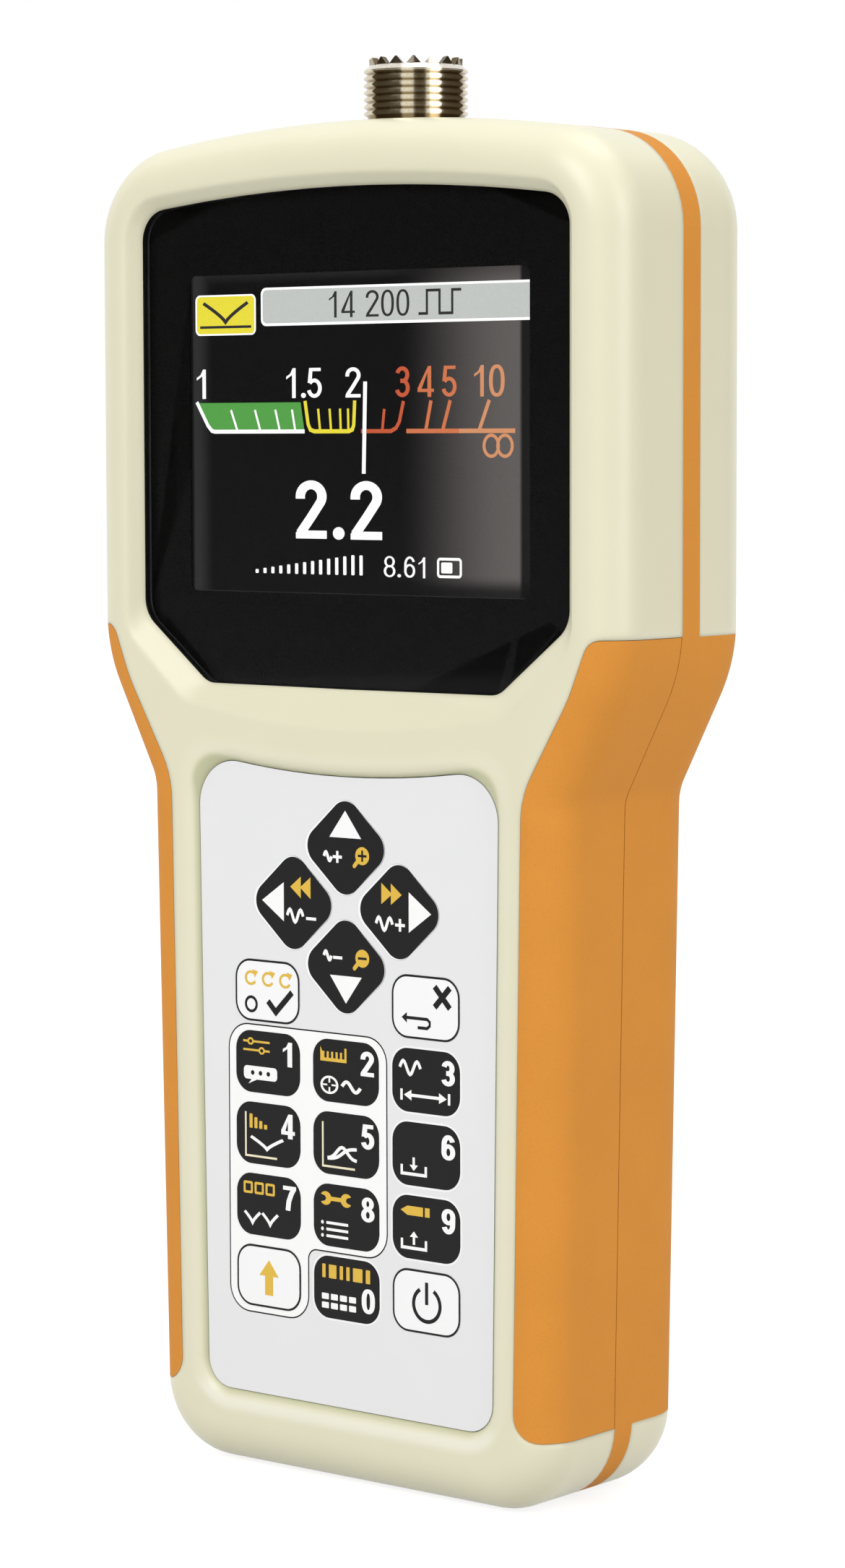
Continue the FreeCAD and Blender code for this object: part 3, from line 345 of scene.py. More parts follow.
# by slot; the frame's own materials have these names already, so Blender ends the new ones with a number
MATERIALS = {mat.name.split(".")[0]: mat for mat in (
    case_plastic(),
    soft_grip(),
    window_pane(),
    display_glass(),
    plated_thread(),
    surface("mask_black", srgb(15, 15, 16), rough=(0.25, 0.32), relief_mm=0.0005, Specular_IOR_Level=0.1),
    surface("tape_black", srgb(26, 26, 26), rough=(0.8, 0.95), grain_mm=0.2, relief_mm=0.02),
    surface("steel", srgb(196, 197, 199), rough=(0.22, 0.4), grain_mm=0.4, stretch=(1, 1, 8), relief_mm=0.001,
            mottle=0.04, metallic=1.0),
    surface("brass", srgb(214, 178, 104), rough=(0.18, 0.32), relief_mm=0.001, mottle=0.06, metallic=1.0),
    surface("ptfe", srgb(236, 236, 230), rough=(0.35, 0.5), relief_mm=0.002, mottle=0.02,
            Subsurface_Weight=0.15),
    printed("overlay_grey", srgb(232, 232, 233), 0.01, relief_mm=0.0025),
    printed("key_black", BLACK_PRINT, 0.06, relief_mm=0.003, rough=(0.38, 0.5), Specular_IOR_Level=0.2),
    printed("key_white", srgb(247, 247, 247), 0.008, relief_mm=0.0025),
    surface("film", srgb(214, 214, 206), rough=(0.3, 0.4)),
    surface("flex_amber", srgb(176, 112, 34), rough=(0.25, 0.4), grain_mm=0.5, stretch=(1, 1, 6), mottle=0.1),
    surface("board_green", srgb(26, 92, 52), rough=(0.28, 0.42), grain_mm=0.6, mottle=0.15, mottle_mm=4.0,
            relief_mm=0.01),
    surface("black_plastic", srgb(34, 34, 35), rough=(0.45, 0.6), grain_mm=0.2, relief_mm=0.006),
    surface("cell_wrap", srgb(40, 58, 84), rough=(0.2, 0.3), mottle=0.08, Coat_Weight=0.4),
    surface("label_silver", srgb(190, 191, 192), rough=(0.3, 0.42), grain_mm=0.25, stretch=(1, 1, 12),
            relief_mm=0.001, metallic=0.7),
)}
PRINTS = {
    "white": printed("print_white", srgb(250, 250, 249), 0.01),
    "yellow": printed("print_yellow", srgb(226, 184, 62), 0.03),
    "black": printed("print_black", BLACK_PRINT, 0.05, rough=(0.38, 0.5), Specular_IOR_Level=0.2),
    "pale": printed("print_pale", srgb(240, 230, 200), 0.03),
}
LIT = {name: lit(name, srgb(*levels), strength) for name, levels, strength in (
    ("lit_white", (250, 250, 250), 1.25),
    ("lit_grey", (202, 206, 203), 1.0),
    ("lit_yellow", (244, 230, 62), 1.0),
    ("lit_green", (86, 166, 74), 1.0),
    ("lit_orange", (206, 92, 56), 1.0),
    ("lit_coral", (217, 122, 78), 1.0),
    ("lit_peach", (222, 152, 108), 1.0),
    ("lit_dark", (42, 42, 44), 1.0),
)}

for part in frame["record"]["subparts"]:
    node = nodes[part["node"]]
    node.data.materials.clear()
    node.data.materials.append(MATERIALS[part["material_slot"]])


# ---------------------------------------------------------------- flat shapes, in mm, x to the right and z up
NEARLY_STRAIGHT = 1.56     # half the angle between the two sides of such a corner, in radians


def arc(cx, cz, radius, start, end, steps=None):
    """Points along an arc, angles in degrees."""
    steps = steps or max(3, int(abs(end - start) / 12))
    angles = [math.radians(start + (end - start) * i / steps) for i in range(steps + 1)]
    return [(cx + radius * math.cos(a), cz + radius * math.sin(a)) for a in angles]


def circle(cx, cz, radius, steps=28):
    return arc(cx, cz, radius, 0, 360, steps)[:-1]


def rounded(corners, steps=6):
    """Closed loop through corners (x, z, radius), each rounded with its radius unless nearly straight."""
    points = []
    count = len(corners)
    for i, (x, z, radius) in enumerate(corners):
        here = Vector((x, z))
        back = (Vector(corners[i - 1][:2]) - here).normalized()
        on = (Vector(corners[(i + 1) % count][:2]) - here).normalized()
        half = back.angle(on) / 2
        if radius <= 0 or half > NEARLY_STRAIGHT:
            points.append((x, z))
            continue
        reach = radius / math.tan(half)
        centre = here + (back + on).normalized() * (radius / math.sin(half))
        first, last = here + back * reach - centre, here + on * reach - centre
        start = math.atan2(first.y, first.x)
        sweep = (math.atan2(last.y, last.x) - start + math.pi) % (2 * math.pi) - math.pi
        points += [(centre.x + radius * math.cos(start + sweep * k / steps),
                    centre.y + radius * math.sin(start + sweep * k / steps)) for k in range(steps + 1)]
    return points


def box_loop(x0, x1, z0, z1, radius=0.0):
    return rounded([(x0, z0, radius), (x1, z0, radius), (x1, z1, radius), (x0, z1, radius)])


def stroke(points, width):
    """Closed loop round an open line of that width, mitred at its bends."""
    line = [Vector(p) for p in points]
    left, right = [], []
    for i, here in enumerate(line):
        before = (here - line[i - 1]).normalized() if i else None
        after = (line[i + 1] - here).normalized() if i + 1 < len(line) else None
        along = ((before or after) + (after or before)).normalized()
        side = Vector((-along.y, along.x))
        reach = width / 2
        if before and after:
            reach /= max(0.4, side.dot(Vector((-before.y, before.x))))
        left.append(tuple(here + side * reach))
        right.append(tuple(here - side * reach))
    return left + right[::-1]


def ring(cx, cz, radius, width):
    return [circle(cx, cz, radius + width / 2), circle(cx, cz, radius - width / 2)]


def frame_ring(x0, x1, z0, z1, radius, width):
    """Outline of a rounded box; width is taken inwards."""
    return [box_loop(x0, x1, z0, z1, radius),
            box_loop(x0 + width, x1 - width, z0 + width, z1 - width, max(radius - width, 0.05))]


def oval(cx, cz, rx, rz, start=0.0, end=360.0, steps=28, square=1.0):
    """Points along an oval; square below 1 makes it boxier. A full turn leaves out its last point."""
    points = []
    for i in range(steps + 1):
        a = math.radians(start + (end - start) * i / steps)
        across, up = (math.copysign(abs(v) ** square, v) for v in (math.cos(a), math.sin(a)))
        points.append((cx + rx * across, cz + rz * up))
    return points[:-1] if abs(end - start) >= 360 else points


def numeral_shapes(char, t):
    """Plain numeral in a cell 0.5 wide and 1 high round (0, 0); t is the width of its lines."""
    a, b = 0.25 - t / 2, 0.5 - t / 2
    if char == "0":
        return [[oval(0, 0, 0.25, 0.5, square=0.85), oval(0, 0, 0.25 - t, 0.5 - t * 0.92, square=0.85)]]
    if char == "1":
        right = 0.126
        left = right - 0.24 - 0.64 * t
        return [[[(right, -0.5), (right, 0.5), (right - 0.8 * t, 0.5), (left + 0.13, 0.31), (left, 0.22),
                  (left, 0.22 - 0.75 * t), (right - t, 0.24 + (0.18 - t) * 0.6), (right - t, -0.5)]]]
    if char == "2":
        c, foot = b - 0.2, -0.5 + t * 0.92
        line = [(-a, c - 0.04)] + oval(0, c, a, 0.2, 180, -30, 18) + [(0.0, -0.13), (-a, -b + 0.02)]
        return [[stroke(line, t)],
                [[(-0.25, -0.5), (0.25, -0.5), (0.25, foot), (-0.2, foot), (-0.25, -0.5 + t * 0.7)]]]
    if char == "3":
        r1, r2 = 0.205, b - 0.2
        return [[stroke(oval(-0.005, b - r1, a * 0.92, r1, 165, -90, 18) + [(-0.07, b - 2 * r1)], t)],
                [stroke([(-0.07, -b + 2 * r2)] + oval(-0.005, -b + r2, a, r2, 90, -165, 20), t)]]
    if char == "4":
        x1 = 0.13
        x0, z0, z1 = x1 - t, -0.34, -0.34 + 0.85 * t
        return [[[(x0, -0.5), (x1, -0.5), (x1, z0), (0.216, z0), (0.216, z1), (x1, z1), (x1, 0.5),
                  (x0 + 0.02, 0.5), (-0.309, z1 + 0.02), (-0.309, z0), (x0, z0)],
                 [(x0, z1), (x0, 0.47 - 1.45 * t), (-0.249 + 0.55 * t, z1)]]]
    if char == "5":
        r = (b + 0.085) / 2
        return [[[(-0.17, 0.5 - 0.9 * t), (0.215, 0.5 - 0.9 * t), (0.215, 0.5), (-0.17, 0.5)]],
                [[(-0.17, 0.5), (-0.17 + 0.95 * t, 0.5), (-0.205 + 0.95 * t, 0.03), (-0.222, 0.0)]],
                [stroke(oval(0, -b + r, a, r, 142, -165, 22), t)]]
    if char == "6":
        return [[oval(0, -0.18, 0.25, 0.32, square=0.95), oval(0, -0.18, 0.25 - t, 0.32 - t * 0.92)],
                [stroke(oval(0.005, 0.1, a, b - 0.1, 25, 180, 16) + [(-a, -0.16)], t)]]
    if char == "7":
        return [[[(-0.25, 0.5 - 0.92 * t), (0.25, 0.5 - 0.92 * t), (0.25, 0.5), (-0.25, 0.5)]],
                [stroke([(0.25 - t * 0.55, 0.5 - t * 0.7), (0.06, 0.17), (-0.03, -0.13), (-0.065, -0.5)], t)]]
    if char == "8":
        return [[oval(0, 0.235, 0.225, 0.265), oval(0, 0.235, 0.225 - t * 0.95, 0.265 - t * 0.82)],
                [oval(0, -0.215, 0.25, 0.285), oval(0, -0.215, 0.25 - t, 0.285 - t * 0.82)]]
    if char == "9":
        return [[[(-x, -z) for x, z in loop] for loop in shape] for shape in numeral_shapes("6", t)]
    dot = 0.6 * t
    return [[oval(0, -0.5 + dot, dot, dot, steps=16)]]


def numeral(char, cx, cz, width, height, t=0.18):
    """A numeral whose cell has that middle and size, in mm."""
    return [[[(cx + x * width * 2, cz + z * height) for x, z in loop] for loop in shape]
            for shape in numeral_shapes(char, t)]


def fitted(shapes, x0, x1, z0, z1):
    """The shapes stretched to fill a box."""
    xs = [x for shape in shapes for loop in shape for x, _ in loop]
    zs = [z for shape in shapes for loop in shape for _, z in loop]
    kx, kz = (x1 - x0) / (max(xs) - min(xs)), (z1 - z0) / (max(zs) - min(zs))
    return [[[(x0 + (x - min(xs)) * kx, z0 + (z - min(zs)) * kz) for x, z in loop] for loop in shape]
            for shape in shapes]


def turns_round(x, z, loop):
    """How many times the loop goes round a point."""
    turns = 0
    x0, z0 = loop[-1]
    for x1, z1 in loop:
        if (z0 <= z) != (z1 <= z):
            side = (x1 - x0) * (z - z0) - (x - x0) * (z1 - z0)
            turns += (1 if z1 > z0 else -1) * ((side > 0) == (z1 > z0))
        x0, z0 = x1, z1
    return turns


def covers(shape, x, z):
    return turns_round(x, z, shape[0]) != 0 and not any(turns_round(x, z, hole) for hole in shape[1:])


def joined(shapes):
    """The shapes as one flat mesh of triangles, overlaps merged."""
    points, edges, reach = [], [], []
    for shape in shapes:
        for loop in shape:
            first = len(points)
            points += [Vector(p) for p in loop]
            edges += [(first + i, first + (i + 1) % len(loop)) for i in range(len(loop))]
        xs, zs = [p[0] for p in shape[0]], [p[1] for p in shape[0]]
        reach.append((min(xs), max(xs), min(zs), max(zs)))
    verts, _, tris, _, _, _ = delaunay_2d_cdt(points, edges, [], 0, 1e-5)
    kept = []
    for tri in tris:
        x, z = sum((verts[i] for i in tri), Vector((0, 0))) / 3
        if any(covers(shape, x, z) for shape, (x0, x1, z0, z1) in zip(shapes, reach)
               if x0 < x < x1 and z0 < z < z1):
            kept.append(tri)
    return verts, kept


def plate(name, shapes, front_y, thick, mat, body, centre=(0.0, 0.0)):
    """Closed flat pieces standing on a plane that faces -Y; all sizes in mm."""
    mesh = bmesh.new()
    points, tris = joined(shapes)
    verts = {i: mesh.verts.new((points[i].x, 0, points[i].y)) for tri in tris for i in tri}
    for tri in tris:
        mesh.faces.new([verts[i] for i in tri])
    result = bmesh.ops.extrude_face_region(mesh, geom=mesh.faces[:])
    for v in (g for g in result["geom"] if isinstance(g, bmesh.types.BMVert)):
        v.co.y -= thick
    bmesh.ops.recalc_face_normals(mesh, faces=mesh.faces[:])
    for v in mesh.verts:
        v.co = Vector(((v.co.x + centre[0]) * MM, (v.co.y + front_y + thick) * MM, (v.co.z + centre[1]) * MM))
    data = bpy.data.meshes.new(name)
    mesh.to_mesh(data)
    mesh.free()
    obj = bpy.data.objects.new(name, data)
    data.materials.append(mat)
    bpy.context.scene.collection.objects.link(obj)
    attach(obj, body)


# ---------------------------------------------------------------- keypad
KEY_HALF_X, KEY_HALF_Z, KEY_R = 6.45, 4.735, 2.9         # the keys' tops, as in the solids
ARROW_HALF_X, ARROW_HALF_Z, ARROW_R = 9.36, 8.12, 3.0
ARROW_MARGIN_LEFT, ARROW_MARGIN_RIGHT, ARROW_MARGIN_Z = 0.45, 0.09, 0.03
PRINT_THICK = 0.015
PRINT_REACH = 0.05         # a key's print ends that far outside its top, within the 0.07 gap round it
WHITE_KEY_RIM = 0.26       # width of a white key's black line, less that reach
SHEET_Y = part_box("keypad_overlay")[0].y / MM
KEY_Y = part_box("key_5")[0].y / MM
KEYS = [n for n in nodes if n.startswith("key_")]
ARROWS = ("key_up", "key_down", "key_left", "key_right")
WHITE_KEYS = ("key_ok", "key_cancel", "key_function", "key_power")
GROUP_KEYS = ("key_1", "key_2", "key_4", "key_5", "key_7", "key_8", "key_function")


def key_centre(name):
    low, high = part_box(name)
    return (low.x + high.x) / 2 / MM, (low.z + high.z) / 2 / MM


def key_loop(name, out):
    """Outline of a key, moved outwards by that much, round its own centre."""
    if name in ARROWS:
        a, b = ARROW_HALF_X, ARROW_HALF_Z
        grow = 1 + out * math.hypot(a, b) / (a * b)
        a, b, r = a * grow, b * grow, ARROW_R + out
        return rounded([(a, 0, r), (0, b, r), (-a, 0, r), (0, -b, r)], steps=10)
    return rounded([(sx * (KEY_HALF_X + out), sz * (KEY_HALF_Z + out), KEY_R + out)
                    for sx, sz in ((-1, -1), (1, -1), (1, 1), (-1, 1))], steps=8)


def key_loop_on_sheet(name, out):
    """The same outline in its place on the sheet."""
    x, z = key_centre(name)
    return [(px + x, pz + z) for px, pz in key_loop(name, out)]


def arrow_field():
    """Black field of an arrow key: it leaves a narrow white margin, wider on the left."""
    x0, x1 = ARROW_HALF_X - ARROW_MARGIN_LEFT, ARROW_HALF_X - ARROW_MARGIN_RIGHT
    z, middle = ARROW_HALF_Z - ARROW_MARGIN_Z, (x1 - x0) / 2
    corners = (x1, 0), (middle, z), (-x0, 0), (middle, -z)
    return rounded([corner + (ARROW_R,) for corner in corners], steps=10)


HALO_INNER, HALO_OUTER = 0.10, 0.36      # edges of the white line round a single black key
# the white field behind seven of the keys, with a step at its lower right
GROUP_LEFT, GROUP_RIGHT = -23.6, 8.05
GROUP_TOP, GROUP_BOTTOM = key_centre("key_1")[1] + 5.77, key_centre("key_function")[1] - 5.77
GROUP_STEP_X, GROUP_STEP_Z = -7.6, key_centre("key_8")[1] - 5.68
GROUP_R, GROUP_STEP_R = 3.9, 1.6
GROUP_HALF_LINE = 0.11     # half the width of the group's border


def group_outline(out):
    """Outline round seven of the keys, moved outwards by that much."""
    left, right, top, bottom = GROUP_LEFT - out, GROUP_RIGHT + out, GROUP_TOP + out, GROUP_BOTTOM - out
    step_x, step_z, r = GROUP_STEP_X + out, GROUP_STEP_Z - out, GROUP_R + out
    return rounded([(left, top, r), (right, top, r), (right, step_z, r), (step_x, step_z, GROUP_STEP_R - out),
                    (step_x, bottom, r), (left, bottom, r)], steps=8)


def print_on_sheet(name, shapes, ink):
    plate(name, shapes, SHEET_Y - PRINT_THICK, PRINT_THICK, PRINTS[ink], "case")


print_on_sheet("sheet_group_field",
               [[group_outline(-GROUP_HALF_LINE)] + [key_loop_on_sheet(n, HALO_INNER) for n in GROUP_KEYS]],
               "white")
print_on_sheet("sheet_group_border", [[group_outline(GROUP_HALF_LINE), group_outline(-GROUP_HALF_LINE)]],
               "black")
print_on_sheet("sheet_key_halos",
               [[key_loop_on_sheet(n, HALO_OUTER), key_loop_on_sheet(n, HALO_INNER)] for n in KEYS
                if n not in GROUP_KEYS + ARROWS + WHITE_KEYS], "white")

# ---------------------------------------------------------------- symbols on the keys
LINE, THIN_LINE, HEAVY_LINE = 0.52, 0.34, 0.95          # widths of the legends' lines


def triangle(x, z, w, h, way):
    """Solid triangle; way is the direction of its tip."""
    tips = {"up": [(-w, -h), (w, -h), (0, h)], "down": [(-w, h), (0, -h), (w, h)],
            "left": [(-w, 0), (w, -h), (w, h)], "right": [(w, 0), (-w, h), (-w, -h)]}[way]
    return [[(x + px / 2, z + pz / 2) for px, pz in tips]]


def plus_sign(x, z, size, width):
    a, b = size / 2, width / 2
    return [[(x + px, z + pz) for px, pz in
             ((-a, -b), (-b, -b), (-b, -a), (b, -a), (b, -b), (a, -b),
              (a, b), (b, b), (b, a), (-b, a), (-b, b), (-a, b))]]


def minus_sign(x, z, size, width):
    return [box_loop(x - size / 2, x + size / 2, z - width / 2, z + width / 2)]


def lens_symbol(x, z, sign):
    """Round lens with a handle to the lower left; its sign is cut out."""
    foot = x - 1.55, z - 1.58
    return [[circle(x, z, 1.36)] + sign(x, z, 1.72, 0.38), [stroke([(x - 0.95, z - 0.9), foot], 0.66)],
            [circle(*foot, 0.33, 14)]]


def wave(x0, x1, z, height, turns=1.0):
    steps = 18
    points = [(x0 + (x1 - x0) * i / steps, z + height / 2 * math.sin(turns * 2 * math.pi * i / steps))
              for i in range(steps + 1)]
    return [[stroke(points, LINE)]]


def sliders():
    shapes = []
    for z, knob in ((0.7, -1.1), (-0.7, 1.0)):
        shapes += [[stroke([(-2.5, z), (knob - 0.5, z)], THIN_LINE)],
                   [stroke([(knob + 0.5, z), (2.5, z)], THIN_LINE)], ring(knob, z, 0.45, 0.3)]
    return shapes


def ruler():
    top = [(-2.6, -0.95), (2.6, -0.95), (2.6, 0.95), (2.2, 0.95)]
    ticks = []
    x = 2.2
    while x > -2.0:
        ticks += [(x, -0.5), (x - 0.48, -0.5), (x - 0.48, 0.35), (x - 0.88, 0.35)]
        x -= 0.88
    return [[top + ticks + [(-2.6, 0.95)]]]


def falling_bars():
    return [[box_loop(-1.9 + i * 0.95, -1.3 + i * 0.95, -1.0, 1.0 - i * 0.45, 0.1)] for i in range(4)]


def three_boxes():
    return [frame_ring(-2.7 + i * 1.9, -1.1 + i * 1.9, -0.85, 0.85, 0.25, THIN_LINE) for i in range(3)]


def spanner():
    def jaw(cx, way):
        return [(cx + way * x, z) for x, z in arc(0, 0, 1.0, 35, 325, 14)] + \
               [(cx + way * 0.1, -0.35), (cx + way * -0.1, 0.0), (cx + way * 0.1, 0.35)]
    return [[jaw(1.8, 1)], [jaw(-1.8, -1)], [stroke([(-0.85, 0), (0.85, 0)], 0.6)]]


def pencil():
    return [[[(-1.5, 0.55), (-2.7, 0.0), (-1.5, -0.55), (1.3, -0.55), (1.3, 0.55)]],
            [[(1.65, -0.55), (2.5, -0.55), (2.5, 0.55), (1.65, 0.55)]]]


def band_bars():
    return [[box_loop(x, x + w, -0.95, 0.95, 0.08)] for x, w in
            ((-2.7, 0.35), (-2.0, 0.8), (-0.85, 0.35), (-0.15, 0.35), (0.55, 1.0), (1.9, 0.45))]


def bubble():
    body = rounded([(-3.2, -0.75, 0.6), (-1.7, -0.75, 0), (-2.3, -1.45, 0), (-0.7, -0.75, 0),
                    (3.2, -0.75, 0.6), (3.2, 1.25, 0.6), (-3.2, 1.25, 0.6)])
    return [[body] + [circle(x, 0.25, 0.36, 14) for x in (-1.5, 0.0, 1.5)]]


def polar_chart():
    middle = -1.5
    marks = [[stroke([(0.35 * c + middle, 0.35 * s), (1.05 * c + middle, 1.05 * s)], 0.26)]
             for c, s in ((1, 0), (0, 1), (-1, 0), (0, -1))]
    return [ring(middle, 0, 1.25, THIN_LINE)] + marks + wave(0.5, 3.4, 0, 1.5)


def range_arrows():
    arrow = [(-3.1, 0), (-2.0, 0.75), (-2.0, 0.22), (2.0, 0.22), (2.0, 0.75), (3.1, 0), (2.0, -0.75),
             (2.0, -0.22), (-2.0, -0.22), (-2.0, -0.75)]
    return [[arrow]] + [[stroke([(x, -0.8), (x, 0.8)], THIN_LINE)] for x in (-3.45, 3.45)]


def dip_curve(x0=-2.6, x1=2.6, depth=2.0):
    points = []
    for i in range(21):
        t = -1 + 2 * i / 20
        points.append((x0 + (x1 - x0) * i / 20, depth * (abs(t) ** 0.8) - depth / 2))
    return [[stroke(points, LINE)]]


def crossing_curves():
    rise = [(-2.6 + 5.2 * i / 16, -0.95 + 1.9 / (1 + math.exp(-(i - 8) / 1.8))) for i in range(17)]
    hump = [(-2.6 + 5.2 * i / 16, -0.9 + 1.9 * math.exp(-((i - 8) / 4.0) ** 2)) for i in range(17)]
    return [[stroke(rise, LINE)], [stroke(hump, LINE)]]


def tray(way):
    """An arrow into or out of an open tray."""
    head = [(-0.9, 0.15), (0, -0.75), (0.9, 0.15)] if way == "in" else [(-0.9, 0.45), (0, 1.35), (0.9, 0.45)]
    shaft = [(0, 1.35), (0, 0.15)] if way == "in" else [(0, 0.45), (0, -0.75)]
    return [[head], [stroke(shaft, 0.5)], [stroke([(-2.6, 0.1), (-2.6, -1.3), (2.6, -1.3), (2.6, 0.1)], 0.5)]]


def three_lines():
    return [[box_loop(-2.2, 2.2, z - 0.2, z + 0.2, 0.1)] for z in (-0.95, 0.0, 0.95)] + \
           [[circle(-3.0, z, 0.27, 12)] for z in (-0.95, 0.0, 0.95)]


def table_grid():
    return [[box_loop(-3.2 + i * 1.7, -1.9 + i * 1.7, z - 0.42, z + 0.42, 0.12)] for i in range(4)
            for z in (-0.65, 0.6)]


def loop_arrow():
    return [[stroke(arc(0, 0, 0.95, 50, 330, 18), 0.4)], [[(0.28, 1.35), (1.35, 1.05), (0.75, 0.1)]]]


def back_arrow():
    line = [(-2.2, 0.35), (2.2, 0.35), (2.75, 0.0), (2.75, -0.55), (2.2, -0.95), (0.2, -0.95)]
    return [[stroke(line, 0.45)], [[(-3.2, 0.35), (-2.1, 1.1), (-2.1, -0.4)]]]


def shift_arrow():
    return [[[(0, 2.9), (2.5, 0.35), (1.05, 0.35), (1.05, -2.7), (-1.05, -2.7), (-1.05, 0.35), (-2.5, 0.35)]]]


def tick():
    return [[stroke([(0.1, -1.5), (1.7, -3.1), (5.0, 0.2)], HEAVY_LINE)]]


def cross():
    """One long line, and two short ones that end inside it."""
    x, z, a, b = 3.2, 1.8, 1.45, 1.55
    return [[stroke(points, HEAVY_LINE)] for points in ([(x - a, z - b), (x + a, z + b)],
                                                        [(x - a, z + b), (x - 0.32, z + 0.34)],
                                                        [(x + 0.32, z - 0.34), (x + a, z - b)])]


def power_symbol():
    return [[stroke(arc(0.1, -0.35, 2.55, 121, 419, 40), 0.6)], [stroke([(0.07, 3.05), (0.07, -0.35)], 0.6)]]


def axes():
    """Thin L-shaped axes round a plot symbol."""
    return [[stroke([(-4.58, 3.2), (-4.58, -3.6), (1.78, -3.6)], 0.32)]]


def key_digit(char, middle=(4.3, 1.64)):
    return numeral(char, middle[0], middle[1], 2.62, 3.8)


# every legend: key -> ink -> shapes in mm round the key's centre
LEGENDS = {
    "key_1": {"white": key_digit("1") + fitted(bubble(), -4.9, 1.9, -3.5, -0.7),
              "yellow": fitted(sliders(), -5.0, 0.4, 1.2, 3.7)},
    "key_2": {"white": key_digit("2") + fitted(polar_chart(), -5.0, 3.2, -3.6, -0.8),
              "yellow": fitted(ruler(), -5.0, 0.2, 1.4, 3.6)},
    "key_3": {"white": key_digit("3") + wave(-5.0, -1.0, 1.85, 2.0, 1.5) +
              fitted(range_arrows(), -4.9, 4.7, -3.1, -1.4)},
    "key_4": {"white": key_digit("4") + fitted(dip_curve(), -3.7, 3.2, -2.7, -0.4),
              "yellow": fitted(falling_bars(), -3.8, -0.2, 0.75, 2.95), "pale": axes()},
    "key_5": {"white": key_digit("5") + fitted(crossing_curves(), -3.7, 2.2, -2.6, -0.2), "pale": axes()},
    "key_6": {"white": key_digit("6") + fitted(tray("in"), -4.9, 0.2, -3.3, -0.5)},
    "key_7": {"white": key_digit("7") +
              fitted(dip_curve(-3.2, -0.2) + dip_curve(0.2, 3.2), -5.1, 2.1, -3.4, -1.1),
              "yellow": fitted(three_boxes(), -5.1, 1.3, 1.6, 3.5)},
    "key_8": {"white": key_digit("8") + fitted(three_lines(), -5.0, 0.4, -3.5, -0.9),
              "yellow": fitted(spanner(), -5.0, 1.0, 1.5, 3.6)},
    "key_9": {"white": key_digit("9") + fitted(tray("out"), -4.9, 0.2, -3.4, -0.6),
              "yellow": fitted(pencil(), -4.9, 0.7, 1.8, 3.2)},
    "key_0": {"white": key_digit("0", (4.33, -1.3)) + fitted(table_grid(), -4.9, 1.9, -3.3, -1.0),
              "yellow": fitted(band_bars(), -4.8, 4.7, 1.4, 3.5)},
    "key_function": {"yellow": fitted(shift_arrow(), -1.95, 2.0, -2.85, 2.65)},
    "key_power": {"black": power_symbol()},
    "key_ok": {"black": tick() + [ring(-3.3, -2.2, 1.1, 0.45)],
               "yellow": [shape for x in (-3.3, 0.2, 3.7)
                          for shape in fitted(loop_arrow(), x - 1.3, x + 1.4, 0.7, 3.2)]},
    "key_cancel": {"black": cross() + fitted(back_arrow(), -4.6, 1.0, -3.3, -0.9)},
    "key_up": {"white": [triangle(0.12, 3.57, 6.27, 4.12, "up")] + wave(-4.1, -2.6, -1.45, 1.3) +
               [plus_sign(-1.45, -1.45, 1.8, 0.46)],
               "yellow": lens_symbol(3.45, -1.05, plus_sign)},
    "key_down": {"white": [triangle(0.14, -3.49, 6.29, 4.18, "down")] + wave(-4.2, -2.7, 1.5, 1.3) +
                 [minus_sign(-1.45, 1.3, 1.8, 0.46)],
                 "yellow": lens_symbol(3.4, 1.5, minus_sign)},
    "key_left": {"white": [triangle(-3.98, 0.05, 4.4, 6.0, "left")] + wave(-1.1, 2.1, -1.95, 1.9, 1.5) +
                 [minus_sign(3.7, -2.2, 2.0, 0.46)],
                 "yellow": [triangle(x, 2.47, 2.1, 3.3, "left") for x in (0.6, 2.55)]},
    "key_right": {"white": [triangle(4.2, 0.08, 4.3, 6.07, "right")] + wave(-4.3, -1.1, -1.95, 1.9, 1.5) +
                  [plus_sign(0.35, -1.95, 1.9, 0.46)],
                  "yellow": [triangle(x, 2.6, 2.1, 3.2, "right") for x in (-2.2, -0.35)]},
}
for key in WHITE_KEYS:
    LEGENDS[key].setdefault("black", []).append([key_loop(key, PRINT_REACH), key_loop(key, -WHITE_KEY_RIM)])
for key in ARROWS:
    LEGENDS[key]["white"].append([key_loop(key, PRINT_REACH), arrow_field()])
for key, inks in LEGENDS.items():
    for ink, shapes in inks.items():
        plate(f"legend_{key[4:]}_{ink}", shapes, KEY_Y - PRINT_THICK, PRINT_THICK, PRINTS[ink],
              key, centre=key_centre(key))

# ---------------------------------------------------------------- display content
PANEL_LOW, PANEL_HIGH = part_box("lcd_panel")
SCREEN_Y = PANEL_LOW.y / MM
SCREEN_MIDDLE = (0.0, (PANEL_LOW.z + PANEL_HIGH.z) / 2 / MM)   # display content is placed from here
LIT_THICK = 0.01


def show(name, shapes, colour, layer=1):
    plate(name, shapes, SCREEN_Y - LIT_THICK * layer, LIT_THICK, LIT[colour], "case",
          centre=SCREEN_MIDDLE)


def lines(pairs, width):
    return [[stroke([low, high], width)] for low, high in pairs]


def numerals(row, z, width, height, line):
    """Numerals of one size; row gives each one and its middle."""
    return [shape for char, x in row for shape in numeral(char, x, z, width, height, line)]


def half_open(x0, x1, z0, z1, radius):
    """Box with rounded corners on its left side only."""
    return rounded([(x0, z0, radius), (x1, z0, 0), (x1, z1, 0), (x0, z1, radius)])


